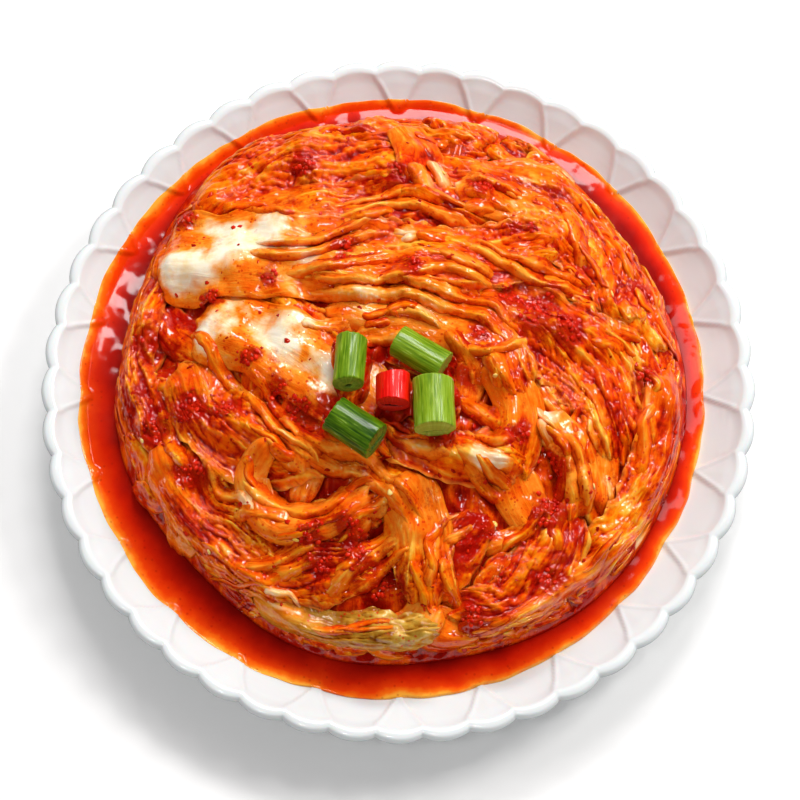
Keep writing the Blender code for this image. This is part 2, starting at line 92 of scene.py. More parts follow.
# Waves of the heap's outline: waves round it, size in mm, direction in degrees of the first crest.
HEAP_RADIUS = 89.0
OUTLINE_WAVES = [(1, 3.7, 80.0), (2, 1.8, 122.0), (3, 0.7, 102.0), (5, 0.8, 53.0), (6, 1.2, 9.0)]
OVERHANG = 2.4
SHOULDER_HEIGHT = 20.0
HEAP_RISE = 28.0
DOME_POWER = 2.2
DOME_ROUNDNESS = 0.75
CORE_INSET = 2.6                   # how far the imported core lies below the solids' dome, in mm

# Leaves in the order they are laid, each over the ones before.  Path in mm, half width at start,
# middle and end, thickness at both ends, distance between ridges, height of the ridges, then how pale
# the stem is at the start, the share of the length where it has turned to leaf, how much chili
# paste the leaf carries, and how much painted shade darkens it where the heap's side is in shadow.
LEAVES = {
    "leaf_left": dict(path=[(-79, 36), (-82, 8), (-75, -18)], width=(8, 8, 7), thick=(2.5, 2.5),
                      spacing=3.4, ridge=1.7, pale=0.0, stem=0.0, paste=0.25, shade=0.45, spread=0.16),
    "leaf_back": dict(path=[(-64, 57), (-36, 72), (-2, 75), (28, 69)], width=(12, 15, 11), thick=(3.0, 3.0),
                      spacing=4.8, ridge=1.8, pale=0.0, stem=0.0, paste=0.15, shade=0.25),
    "leaf_back_lobe": dict(path=[(1, 84), (5, 74), (8, 60)], width=(7, 8, 7), thick=(4.0, 4.0),
                           spacing=3.0, ridge=1.4, pale=0.2, stem=0.5, paste=0.1, shade=0.1),
    "leaf_back_inner": dict(path=[(-50, 50), (-24, 55), (6, 53), (28, 50)], width=(7, 9, 7), thick=(3.0, 3.0),
                            spacing=3.2, ridge=1.5, pale=0.2, stem=0.3, paste=0.3, shade=0.25),
    "leaf_upper_right": dict(path=[(18, 60), (42, 58), (62, 42), (74, 18)], width=(11, 16, 11),
                             thick=(3.5, 3.0), spacing=5.4, ridge=1.9, pale=0.6, stem=0.25, paste=0.2,
                             shade=0.15),
    "leaf_shoulder": dict(path=[(22, 20), (46, 12), (62, -4), (69, -26)], width=(11, 16, 10),
                          thick=(3.5, 3.0), spacing=4.6, ridge=1.9, pale=0.1, stem=0.2, paste=0.25, shade=0.1),
    "leaf_right": dict(path=[(83, 4), (80, -26), (67, -48), (48, -65)], width=(8, 10, 9), thick=(2.5, 2.5),
                       spacing=5.0, ridge=1.0, pale=0.1, stem=0.2, paste=0.05, shade=0.3),
    "leaf_lower_right": dict(path=[(16, -74), (34, -70), (46, -56), (48, -40)], width=(8, 12, 9),
                             thick=(3.0, 3.0), spacing=3.4, ridge=1.6, pale=0.0, stem=0.0, paste=0.2,
                             shade=0.2),
    "leaf_under": dict(path=[(-44, -68), (-24, -77), (-4, -80), (12, -78)], width=(6, 8, 6), thick=(2.5, 2.5),
                       spacing=5.0, ridge=1.2, pale=0.3, stem=0.4, paste=0.1, shade=0.3),
    "leaf_fan": dict(path=[(-72, -20), (-61, -43), (-37, -58), (-8, -61)], width=(9, 12, 9), thick=(3.0, 3.0),
                     spacing=3.0, ridge=1.8, pale=0.1, stem=0.2, paste=0.25, shade=0.15),
    "leaf_left_shoulder": dict(path=[(-66, 4), (-56, -13), (-40, -25), (-18, -28)], width=(11, 13, 9),
                               thick=(3.5, 3.0), spacing=3.2, ridge=1.7, pale=0.1, stem=0.2, paste=0.2,
                               shade=0.1),
    "leaf_folded": dict(path=[(-36, -23), (-45, -33), (-38, -46), (-22, -48), (-9, -38)], width=(5, 6, 5),
                        thick=(4.0, 4.0), spacing=4.0, ridge=1.0, pale=0.45, stem=1.0, paste=0.2, shade=0.0),
    "leaf_lobe": dict(path=[(27, 2), (36, -14), (34, -34)], width=(7, 9, 7), thick=(3.5, 3.5),
                      spacing=3.4, ridge=1.5, pale=0.2, stem=0.6, paste=0.2, shade=0.0),
    "leaf_pulled": dict(path=[(2, -34), (7, -52), (10, -72)], width=(9, 11, 8), thick=(3.5, 3.0),
                        spacing=3.6, ridge=1.9, pale=0.25, stem=0.5, paste=0.25, shade=0.0),
    "leaf_stem_right": dict(path=[(44, -14), (53, -28), (53, -46)], width=(5, 6, 4), thick=(4.0, 3.5),
                            spacing=4.0, ridge=0.8, pale=0.7, stem=0.8, paste=0.1, shade=0.0),
    "leaf_strands": dict(path=[(-22, 18), (4, 16), (27, 8), (37, -9)], width=(7, 9, 7), thick=(3.5, 3.5),
                         spacing=3.8, ridge=1.8, pale=0.35, stem=0.8, paste=0.2, shade=0.0),
    "leaf_white_lower": dict(path=[(-61, 18), (-36, 5), (-10, -12), (18, -28), (38, -30)],
                             width=(13, 12, 7), thick=(6.0, 3.5), spacing=4.6, ridge=1.3, pale=1.1, stem=0.5,
                             paste=0.15, shade=0.0, ends=14.0, sink=0.04),
    "leaf_white_upper": dict(path=[(-75, 40), (-46, 38), (0, 34), (48, 38)], width=(17, 15, 9),
                             thick=(6.5, 3.5), spacing=5.2, ridge=1.5, pale=1.1, stem=0.45, paste=0.1,
                             shade=0.0, ends=14.0, sink=0.04),
}
LEAF_CELL = 0.45                   # size in mm of a leaf mesh's cells

# Folds and loose strands that lie over the leaves: path in mm, half width, height, paleness.
FOLDS = [
    ([(-50, 57), (-38, 52), (-28, 50)], 2.2, 1.6, 0.3),
    ([(-24, 49), (-10, 53), (6, 55), (18, 51), (28, 46)], 2.6, 2.2, 0.25),
    ([(-47, 40), (-36, 37), (-26, 38), (-16, 42), (-4, 47)], 2.6, 2.8, 0.75),
    ([(-4, 44), (8, 43), (20, 44)], 1.8, 1.6, 0.7),
    ([(20, 43), (30, 36), (40, 31), (52, 29), (63, 27)], 2.8, 2.6, 0.3),
    ([(-38, 29), (-24, 30), (-10, 33), (2, 38)], 2.3, 2.0, 0.45),
    ([(-32, 27), (-20, 25), (-8, 24), (6, 23), (18, 19), (27, 16), (32, 11), (41, 7)], 2.7, 3.0, 0.5),
    ([(-12, 28), (0, 28), (12, 30), (24, 27), (32, 24)], 2.3, 1.8, 0.35),
    ([(10, 37), (20, 33), (31, 27)], 1.9, 1.6, 0.3),
    ([(-32, 14), (-22, 12), (-12, 13)], 2.4, 1.6, 0.9),
    ([(-8, 16), (2, 16), (11, 13), (15, 8)], 2.1, 2.0, 0.65),
    ([(-16, 9), (-6, 9), (4, 8)], 2.3, 1.5, 0.6),
    ([(13, 13), (17, 6), (22, -1), (23, -10)], 2.4, 2.6, 0.35),
    ([(18, 5), (26, 3), (33, 5), (40, 9)], 2.0, 2.0, 0.45),
    ([(20, 62), (30, 58), (39, 53)], 3.3, 2.4, 0.9),
    ([(7, 69), (10, 62), (12, 56)], 3.7, 3.2, 0.6),
    ([(52, 56), (55, 47), (57, 38), (58, 32)], 2.3, 1.4, 0.55),
    ([(-50, 3), (-42, -9), (-34, -19), (-24, -27), (-12, -31), (-4, -37), (4, -46), (8, -56)], 2.8, 2.8, 0.3),
    ([(-7, -18), (0, -23), (8, -27), (18, -28)], 2.2, 2.8, 0.75),
    ([(20, -22), (27, -27), (36, -28)], 4.6, 3.2, 0.7),
    ([(17, -10), (25, -15), (32, -19)], 2.3, 1.8, 0.35),
    ([(20, -29), (27, -35), (35, -40)], 2.7, 2.2, 0.15),
    ([(-39, -20), (-33, -26), (-27, -30), (-25, -35)], 2.9, 2.2, 0.6),
    ([(-50, -31), (-42, -37), (-32, -43), (-24, -44), (-17, -40), (-12, -33)], 2.5, 2.4, 0.35),
    ([(-52, -42), (-40, -45), (-30, -47)], 2.1, 1.4, 0.3),
    ([(-50, -58), (-40, -58), (-30, -55), (-22, -53)], 2.3, 2.0, 0.3),
    ([(-40, -62), (-30, -61), (-22, -58)], 1.9, 1.6, 0.2),
    ([(-3, -41), (-8, -45), (-12, -49)], 2.3, 2.0, 0.4),
    ([(4, -50), (-4, -54), (-12, -60), (-20, -66), (-24, -70)], 2.1, 2.2, 0.4),
    ([(6, -54), (-2, -58), (-10, -64), (-18, -69)], 1.7, 1.4, 0.3),
    ([(10, -52), (10, -60), (9, -68)], 2.3, 2.0, 0.25),
    ([(14, -56), (15, -64), (19, -72)], 1.9, 1.6, 0.2),
    ([(24, -54), (34, -51), (43, -46)], 2.3, 2.0, 0.35),
    ([(12, -54), (18, -51), (24, -47)], 1.7, 1.2, 0.7),
    ([(45, -20), (51, -26), (54, -34), (55, -44)], 3.3, 2.2, 0.75),
    ([(54, -2), (60, -10), (64, -20)], 1.7, 1.4, 0.2),
    ([(60, 16), (68, 12), (76, 4), (82, -2)], 1.9, 1.6, 0.2),
    ([(80, -6), (74, -14), (74, -24), (72, -34)], 2.3, 1.6, 0.15),
    ([(68, -42), (58, -58), (45, -69), (30, -78), (14, -81)], 2.5, 1.8, 0.3),
    ([(-66, 16), (-58, 8), (-52, -2), (-46, -10)], 2.1, 2.0, 0.1),
    ([(-72, -8), (-69, -20), (-62, -32)], 2.2, 1.8, 0.1),
]

# Places where chili paste has gathered: x, y and radius in mm.
PASTE = [(-66, 52, 5), (-57, 23, 4), (-39, 27, 4), (-16, 37, 5), (4, 29, 4), (36, 45, 3), (41, 45, 2.5),
         (26, 58, 4), (42, 18, 8), (51, 12, 6), (34, 22, 4), (-45, 2, 3.5), (-36, -8, 4), (-30, -14, 5),
         (-26, -18, 4), (-64, -11, 6), (-52, -13, 4.5), (-62, -30, 5.5), (-26, -51, 4.5), (-15, -50, 5),
         (-13, -57, 5.5), (-23, -59, 5), (36, -22, 4), (46, -30, 5.5), (44, -42, 6), (20, -54, 4.5),
         (26, -49, 3.5), (-4, -67, 6), (45, -63, 5), (22, -74, 4.5), (76, 0, 4), (0, 64, 4), (-30, 68, 5),
         (-16, 5, 3), (24, 8, 4), (17, -12, 3), (-78, 12, 4), (-74, -16, 5),
         (-7, 3, 4), (14, -25, 4), (19, -3, 3.5), (-22, -14, 3.5), (0, -20, 4.5), (21, -18, 3)]

# Cut tubes of the garnish: turn and tilt in degrees, length, radius and wall in mm, how wide and high
# the opening is as a share of the bore, tone from dark to pale, and how pale the cut face is.
TUBES = {
    "onion_a": dict(turn=-94, tilt=9, length=15.5, radius=4.8, wall=1.5, open=(0.3, 0.3), tone=0.40, flesh=0.25),
    "onion_b": dict(turn=-32, tilt=3, length=16.5, radius=4.9, wall=1.5, open=(0.9, 0.2), tone=0.42, flesh=0.4),
    "onion_c": dict(turn=-35, tilt=3, length=16.0, radius=5.6, wall=1.6, open=(0.95, 0.12), tone=0.16,
                    flesh=0.15),
    "onion_d": dict(turn=-88, tilt=6, length=15.5, radius=6.2, wall=1.7, open=(0.9, 0.1), tone=0.56,
                    flesh=0.4),
    "chili": dict(turn=-90, tilt=8, length=9.6, radius=4.9, wall=1.3, open=(0.95, 0.12), tone=0.5, flesh=0.35),
}


# --- small helpers -------------------------------------------------------------------------------

def linear(code):
    """An sRGB hex colour as the linear RGBA that a shader takes."""
    values = [int(code[i:i + 2], 16) / 255.0 for i in (1, 3, 5)]
    return (*[v / 12.92 if v <= 0.04045 else ((v + 0.055) / 1.055) ** 2.4 for v in values], 1.0)


def smoothstep(low, high, value):
    share = np.clip((value - low) / (high - low), 0.0, 1.0)
    return share * share * (3.0 - 2.0 * share)


def lattice(ix, iy, seed):
    """One pseudo-random angle for each whole-numbered point."""
    mixed = (ix * 374761393 + iy * 668265263 + seed * 974634777) & 0xFFFFFFFF
    mixed = ((mixed ^ (mixed >> 13)) * 1274126177) & 0xFFFFFFFF
    mixed = mixed ^ (mixed >> 16)
    return (mixed & 0xFFFF) * (2.0 * math.pi / 65536.0)


def noise(x, y, seed):
    """Smooth gradient noise, about -1 to 1, one bump to a unit."""
    x, y = np.broadcast_arrays(np.asarray(x, float), np.asarray(y, float))
    ix, iy = np.floor(x).astype(np.int64), np.floor(y).astype(np.int64)
    fx, fy = x - ix, y - iy
    wx = fx * fx * fx * (fx * (fx * 6 - 15) + 10)
    wy = fy * fy * fy * (fy * (fy * 6 - 15) + 10)

    def corner(dx, dy):
        angle = lattice(ix + dx, iy + dy, seed)
        return np.cos(angle) * (fx - dx) + np.sin(angle) * (fy - dy)

    near = corner(0, 0) * (1 - wx) + corner(1, 0) * wx
    far = corner(0, 1) * (1 - wx) + corner(1, 1) * wx
    return 1.5 * (near * (1 - wy) + far * wy)


def add_node(tree, kind, inputs=(), stops=(), **settings):
    """Add one node: its settings, its ramp's stops, and each input as a value or a socket to link."""
    made = tree.nodes.new(kind)
    for name, value in settings.items():
        setattr(made, name, value)
    for index, (place, code) in enumerate(stops):
        elements = made.color_ramp.elements
        element = elements[index] if index < 2 else elements.new(place)
        element.position = place
        element.color = linear(code)
    for socket, value in dict(inputs).items():
        if isinstance(value, bpy.types.NodeSocket):
            tree.links.new(value, made.inputs[socket])
        else:
            made.inputs[socket].default_value = value
    return made


def new_material(name):
    """An empty node material with its output; returns the material and its tree."""
    mat = bpy.data.materials.new(name)
    mat.use_nodes = True
    mat.node_tree.nodes.clear()
    return mat, mat.node_tree


def mesh_object(name, points, faces, material, look=None, grain=None, smooth=True):
    """A mesh object at the origin; points in metres, look an optional RGBA value for each point.

    grain is each point's place across and along the fibres, in metres; it becomes the UV map.
    """
    mesh = bpy.data.meshes.new(name)
    mesh.from_pydata(points.tolist(), [], faces.tolist() if hasattr(faces, "tolist") else faces)
    if look is not None:
        layer = mesh.color_attributes.new("look", "FLOAT_COLOR", "POINT")
        layer.data.foreach_set("color", np.asarray(look, np.float32).ravel())
    if grain is not None:
        corners = np.empty(len(mesh.loops), np.int32)
        mesh.loops.foreach_get("vertex_index", corners)
        mesh.uv_layers.new(name="grain").data.foreach_set("uv", np.asarray(grain, np.float32)[corners].ravel())
    if smooth:
        mesh.shade_smooth()
    mesh.materials.append(material)
    obj = bpy.data.objects.new(name, mesh)
    bpy.context.scene.collection.objects.link(obj)
    return obj


def grid_faces(rows, columns, wrap=False, start=0):
    """Quads of a grid of points numbered row by row; wrap joins the last column to the first."""
    last = columns if wrap else columns - 1
    i, j = np.meshgrid(np.arange(rows - 1), np.arange(last), indexing="ij")
    k = (j + 1) % columns
    quads = np.stack([i * columns + j, i * columns + k, (i + 1) * columns + k, (i + 1) * columns + j], -1)
    return quads.reshape(-1, 4) + start


def face_outward(obj):
    bm = bmesh.new()
    bm.from_mesh(obj.data)
    bmesh.ops.recalc_face_normals(bm, faces=bm.faces)
    bm.to_mesh(obj.data)
    bm.free()


def run_nodes(obj, tree, values):
    """Give the object the node tree, set its inputs, and return a plain mesh object of the result."""
    modifier = obj.modifiers.new("nodes", "NODES")
    modifier.node_group = tree
    for item in tree.interface.items_tree:
        if item.item_type == "SOCKET" and item.in_out == "INPUT" and item.name in values:
            modifier[item.identifier] = values[item.name]
    graph = bpy.context.evaluated_depsgraph_get()
    mesh = bpy.data.meshes.new_from_object(obj.evaluated_get(graph), depsgraph=graph)
    obj.modifiers.remove(modifier)
    return mesh


def settle(obj, slot, *nodes):
    """Let a piece ride with the plate and stand for its solids; slot is not used."""
    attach(obj, "root")
    if nodes:
        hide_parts(*nodes)


# --- the heap's form -----------------------------------------------------------------------------

def outline(angle):
    """The heap's reach in mm in one direction, where it is widest."""
    reach = HEAP_RADIUS + 0.0 * angle
    for waves, size, crest in OUTLINE_WAVES:
        reach = reach + size * np.cos(waves * (angle - math.radians(crest)))
    return reach


def dome(x, y):
    """Height in mm of the heap under its leaves; it falls off steeply past the outline."""
    share = np.hypot(x, y) / outline(np.arctan2(y, x))
    inside = SHOULDER_HEIGHT + HEAP_RISE * (1.0 - np.minimum(share, 1.0) ** DOME_POWER) ** DOME_ROUNDNESS
    return np.where(share < 1.0, inside, SHOULDER_HEIGHT - 60.0 * (share - 1.0))


class Bed:
    """Height of what already lies on the plate, on a square grid over the plan, in mm."""

    STEP = 0.5
    REACH = 105.0

    def __init__(self):
        count = int(2 * self.REACH / self.STEP) + 1
        axis = np.linspace(-self.REACH, self.REACH, count)
        self.x, self.y = np.meshgrid(axis, axis, indexing="ij")
        self.top = dome(self.x, self.y) - CORE_INSET
        self.paste, self.stain = np.zeros_like(self.x), np.zeros_like(self.x)
        wobble = 1.0 + 0.35 * noise(self.x / 5, self.y / 5, 41)
        for x, y, radius in PASTE:
            away = ((self.x - x) ** 2 + (self.y - y) ** 2) * wobble ** 2
            self.paste = np.maximum(self.paste, np.exp(-away / radius ** 2))
            self.stain = np.maximum(self.stain, np.exp(-away / (1.9 * radius) ** 2))
        # Nothing rises past the undersides of the garnish.
        self.limit = np.full_like(self.x, 64.0)
        for node, tube in TUBES.items():
            low, high = (np.array(corner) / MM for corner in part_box(node))
            turn = math.radians(tube["turn"])
            along = (self.x - (low[0] + high[0]) / 2) * math.cos(turn) + (self.y - (low[1] + high[1]) / 2) * math.sin(turn)
            aside = (self.y - (low[1] + high[1]) / 2) * math.cos(turn) - (self.x - (low[0] + high[0]) / 2) * math.sin(turn)
            drop = np.hypot(np.clip(np.abs(along) - tube["length"] / 2, 0, None),
                            np.clip(np.abs(aside) - 0.6 * tube["radius"], 0, None))
            self.limit = np.minimum(self.limit, low[2] + 0.5 + 0.9 * drop)

    def places(self, x, y):
        limit = self.top.shape[0] - 1.001
        return (np.clip((x + self.REACH) / self.STEP, 0, limit),
                np.clip((y + self.REACH) / self.STEP, 0, limit))

    def read(self, field, x, y):
        px, py = self.places(x, y)
        ix, iy = px.astype(int), py.astype(int)
        fx, fy = px - ix, py - iy
        near = field[ix, iy] * (1 - fx) + field[ix + 1, iy] * fx
        far = field[ix, iy + 1] * (1 - fx) + field[ix + 1, iy + 1] * fx
        return near * (1 - fy) + far * fy

    def softened(self, grow, blur):
        """The tops widened by grow and blurred by blur, both in mm, for the next leaf to lie on."""
        field = self.top
        for _ in range(int(round(grow / self.STEP))):
            field = np.maximum.reduce([field, np.roll(field, 1, 0), np.roll(field, -1, 0),
                                       np.roll(field, 1, 1), np.roll(field, -1, 1)])
        offsets = np.arange(-int(2.5 * blur / self.STEP), int(2.5 * blur / self.STEP) + 1)
        weights = np.exp(-0.5 * (offsets * self.STEP / blur) ** 2)
        weights /= weights.sum()
        for axis in (0, 1):
            field = sum(w * np.roll(field, o, axis) for w, o in zip(weights, offsets))
        return field

    def add(self, x, y, z):
        px, py = self.places(x, y)
        np.maximum.at(self.top, (np.rint(px).astype(int), np.rint(py).astype(int)), z)


def path_points(path, shares):
    """Points and side directions on a smooth curve through the path's points."""
    knots = np.array(path, float)
    knots = np.vstack([2 * knots[0] - knots[1], knots, 2 * knots[-1] - knots[-2]])
    dense = np.linspace(0, len(path) - 1, 200)
    index = np.minimum(dense.astype(int), len(path) - 2)
    t = (dense - index)[:, None]
    a, b, c, d = (knots[index + k] for k in range(4))
    curve = 0.5 * (2 * b + (c - a) * t + (2 * a - 5 * b + 4 * c - d) * t ** 2 + (3 * b - a - 3 * c + d) * t ** 3)
    reached = np.concatenate([[0.0], np.cumsum(np.hypot(*np.diff(curve, axis=0).T))])
    wanted = shares * reached[-1]
    points = np.stack([np.interp(wanted, reached, curve[:, k]) for k in (0, 1)], -1)
    slope = np.gradient(points, axis=0)
    slope /= np.hypot(slope[:, 0], slope[:, 1])[:, None]
    side = np.stack([-slope[:, 1], slope[:, 0]], -1)
    return points, side, reached[-1]


def draped_leaf(bed, seed, path, width, thick, spacing, ridge, pale, stem, paste, shade, cell=LEAF_CELL,
                ends=9.0, tint=0.2, sink=0.10, lean=0.75, aside=0.0, soft=1.6, fold=False,
                spread=0.12):
    """One leaf laid over the bed: pleats along its length, curled edges, ends tucked in.

    A fold is a single ridge that rises out of the leaf below and falls back into it on both sides.
    """
    length = path_points(path, np.linspace(0, 1, 200))[2]
    rows = int(length / cell)
    half = max(width)
    lip = min(3.0, 1.3 * half) / half
    columns = int(2 * half * (1 + lip) / cell)
    share = np.linspace(0, 1, rows)
    points, side, _ = path_points(path, share)
    u = share[:, None]
    w = np.linspace(-1 - lip, 1 + lip, columns)[None, :]
    # Past the edge the sheet turns under, so v runs back in while the under side hangs below.
    v = np.where(np.abs(w) > 1, np.sign(w) * (2 - np.abs(w)), w)
    under = np.clip(np.abs(w) - 1, 0, None) / lip
    s = u * length

    leafy = smoothstep(stem - 0.2, stem + 0.25, u + 0.12 * noise(s / 20, v * 1.5, seed))
    across = np.interp(share, (0, 0.5, 1), width)[:, None]
    across = across * np.maximum(0.25, (1 - np.abs(2 * u - 1) ** ends) ** 0.5)
    across = across * (1 + 0.16 * noise(s / 13, np.sign(w) * 3.3, seed + 1)
                       + 0.12 * leafy * noise(s / 4.5, np.sign(w) * 5.1, seed + 2))
    if fold:
        across = across * (1 + 0.35 * noise(s / 8, np.sign(w) * 2.1, seed + 23)
                           + 0.18 * noise(s / 3, np.sign(w) * 6.1, seed + 24))
    t = v * across
    ragged = np.abs(2 * u - 1) ** 4 * (0.3 + 0.7 * leafy)
    wander_u = 1.2 * noise(s / 18, t / 12, seed + 3) + 3.0 * ragged * noise(t / 2.6, s / 60, seed + 16)
    wander_v = 1.5 * noise(s / 24, t / 16, seed + 4) + aside
    x = points[:, :1] + side[:, :1] * (t + wander_v) + side[:, 1:] * wander_u
    y = points[:, 1:] + side[:, 1:] * (t + wander_v) - side[:, :1] * wander_u

    # Near the heap's outline the leaf is drawn in and turns down over the edge.
    reach = outline(np.arctan2(y, x))
    over = np.clip(np.hypot(x, y) / reach - 0.9, 0, None)
    pull = np.where(over > 0, (0.9 + spread * (1 - np.exp(-over / spread))) / (0.9 + over), 1.0)
    x, y = x * pull, y * pull

    # Folds run along the leaf, part and join; creases between them are narrow and deep.
    warp = 2.4 * noise(s / 24, t / 9, seed + 5) + 0.9 * noise(s / 10, t / 5, seed + 6)
    a = (t + warp) / spacing
    swell = noise(a * 0.62, s / 38, seed + 7)
    crease = np.exp(-np.abs(noise(a * 0.80 + 7.3, s / 34, seed + 8)) / 0.055)
    thread = np.exp(-(noise(a * 0.95 - 3.1, s / 42, seed + 17) / 0.075) ** 2)
    fine = np.abs(noise(a * 2.3 + 0.8 * noise(s / 6, t / 3, seed + 9), s / 14, seed + 10))
    cross = noise(s / 3.0 + 0.3 * t, t / 2.8, seed + 11)
    pebble = noise(s / 1.5, t / 1.2, seed + 12)
    bent = noise(s / 9, t / 7, seed + 19)
    wrinkle = np.exp(-np.abs(noise(s / 5.5 + bent, t / 3.8 - bent, seed + 20)) / 0.07) * leafy
    calm = 0.5 if fold else 0.18
    high = ridge * (calm + (1 - calm) * leafy)
    relief = high * (0.9 * swell - 0.75 * crease + 0.45 * thread + 0.55 * (fine - 0.25) - 0.38 * wrinkle)
    limp = 0.8 if fold else leafy
    relief += high * (0.06 + 0.34 * limp) * cross + 0.16 * high * limp * pebble

    # The side that faces up the heap sinks under its neighbours; the other stands over them.
    body = np.interp(share, (0, 1), thick)[:, None]
    open_side = v * -np.sign(side[:, 1].mean() + 0.01)
    arch = body * (1 - np.clip((open_side - 0.2) / 0.8, 0, 1) ** 2.4)
    arch = arch * (1 - lean) + lean * arch * smoothstep(-1.0, 0.2, open_side) - lean * 0.8 * (open_side < -0.9)
    if fold:
        rise = np.clip(np.where(open_side < 0.3, (open_side + 1) / 1.3, (1 - open_side) / 0.7), 0, 1)
        arch = body * (0.3 + 0.7 * np.sin(math.pi * u) ** 0.4) * (0.9 + 0.5 * noise(s / 11, seed * 0.37, 33))
        arch = arch * np.sin(0.5 * math.pi * rise) ** 1.3 - 0.9 * (1 - rise) ** 3
    curl = 1.5 * leafy * noise(s / 9, np.sign(w) * 7.7, seed + 13) * np.abs(v) ** 4
    ruffle = 1.1 * leafy * noise(s / 3.5, np.sign(w) * 9.1, seed + 14) * np.abs(v) ** 6
    tuck = 3.0 * (smoothstep(sink, 0.0, u) + smoothstep(1.0 - sink, 1.0, u))
    ground = bed.read(bed.softened(0.0 if fold else 0.6 * soft, soft), x, y)
    # Gathered paste stands on the leaf in wet clots.
    clot = bed.read(bed.paste, x, y)
    clots = clot * np.clip(0.35 + noise(x / 2.2, y / 2.2, 35) + 0.5 * noise(x / 1.1, y / 1.1, 36), 0, 1.5)
    z = ground + 0.4 + arch + relief + curl + ruffle - tuck + 0.8 * clots
    z = np.minimum(z, bed.read(bed.limit, x, y))
    z = z - under * (1.2 + 1.6 * under)
    shown = np.abs(w[0]) <= 1
    bed.add(x[:, shown], y[:, shown], z[:, shown])

    # Colour follows the relief: creases and valleys are darker, partly juice gathered there and partly painted
    # shade, and ridges are lighter as painted light. The shade value darkens the whole leaf as painted shade
    # where the heap's side lies in shadow.
    lively = calm + (1 - calm) * leafy
    crest = np.clip(0.54 - 0.25 * shade
                    + lively * (0.40 * swell - 0.36 * crease + 0.24 * thread + 0.30 * (fine - 0.25)
                                + 0.18 * cross - 0.24 * wrinkle + 0.10 * pebble), 0, 1)
    # A fold's flanks are darker than its top: painted shade.
    if fold:
        crest = np.clip(crest + 0.45 * (rise - 0.7), 0, 1)
    # The side turned under the edge is darker: painted shade beneath the edge.
    crest = crest * (1 - 0.7 * under)
    stained = smoothstep(0.62, 1.0, np.abs(v) + 0.16 * noise(s / 7, v * 2, seed + 21))
    whiteness = np.clip(pale * (1 - leafy) * (1 - 0.75 * stained) + tint * thread, 0, 1)
    whiteness = whiteness * (1 - 0.85 * bed.read(bed.stain, x, y))
    # Paler along the edges: partly the leaf's own pale margin, partly a painted glow of light through the thin
    # edge.
    margin = leafy * smoothstep(0.82, 1.0, np.abs(v) + 0.10 * noise(s / 5, v, seed + 15))
    # Painted shade also reddens the leaf a little.
    redness = np.clip(0.8 * paste + 0.25 * noise(s / 12, t / 8, seed + 18) + 0.15 * shade
                      + 0.55 * clot, 0, 1)
    look = np.stack(np.broadcast_arrays(crest, whiteness, margin, redness), -1).reshape(-1, 4)

    verts = np.stack(np.broadcast_arrays(x, y, z), -1).reshape(-1, 3) * MM
    faces = grid_faces(rows, columns)[:, ::-1].tolist()
    # The under side and both ends are closed by one strip of wide faces.
    for i in range(rows - 1):
        a, b = i * columns, (i + 1) * columns
        faces.append([a + columns - 1, a, b, b + columns - 1])
    faces.append(list(range(columns)))
    faces.append(list(range((rows - 1) * columns, rows * columns))[::-1])
    grain = np.stack(np.broadcast_arrays(t + warp, s + 7.0 * seed), -1).reshape(-1, 2) * MM
    return verts, faces, look, grain


def merged(parts):
    """Several (points, faces, look, grain) as one."""
    points, faces, look, grain = [], [], [], []
    count = 0
    for part_points, part_faces, part_look, part_grain in parts:
        points.append(part_points)
        look.append(part_look)
        grain.append(part_grain)
        faces.extend([[k + count for k in face] for face in part_faces])
        count += len(part_points)
    return np.concatenate(points), faces, np.concatenate(look), np.concatenate(grain)


def leaf_piece(name, parts, material, slot, *nodes):
    """One finished piece from the shapes that draped_leaf returns."""
    points, faces, look, grain = merged(parts)
    piece = mesh_object(name, points, faces, material, look, grain)
    face_outward(piece)
    settle(piece, slot, *nodes)


# --- materials -----------------------------------------------------------------------------------

def glazed_porcelain():
    """White porcelain, glazed and fired: a clear hard gloss, faintly uneven where the glaze pooled."""
    mat, tree = new_material("glazed_porcelain")
    place = add_node(tree, "ShaderNodeTexCoord")
    tint = add_node(tree, "ShaderNodeTexNoise", {"Vector": place.outputs["Object"], "Scale": 18.0,
                                                 "Detail": 3.0})
    colour = add_node(tree, "ShaderNodeValToRGB", {"Fac": tint.outputs["Fac"]},
                      stops=((0.3, "#DCE1E2"), (0.7, "#E2E8E9")))
    ripple = add_node(tree, "ShaderNodeTexNoise", {"Vector": place.outputs["Object"], "Scale": 160.0,
                                                   "Detail": 2.0})
    bump = add_node(tree, "ShaderNodeBump", {"Height": ripple.outputs["Fac"], "Strength": 0.06,
                                             "Distance": 0.0008})
    shader = add_node(tree, "ShaderNodeBsdfPrincipled",
                      {"Base Color": colour.outputs["Color"], "Roughness": 0.22, "IOR": 1.45,
                       "Coat Weight": 0.25, "Coat Roughness": 0.08, "Subsurface Weight": 0.15,
                       "Subsurface Scale": 0.002, "Normal": bump.outputs["Normal"]})
    add_node(tree, "ShaderNodeOutputMaterial", {"Surface": shader.outputs["BSDF"]})
    return mat


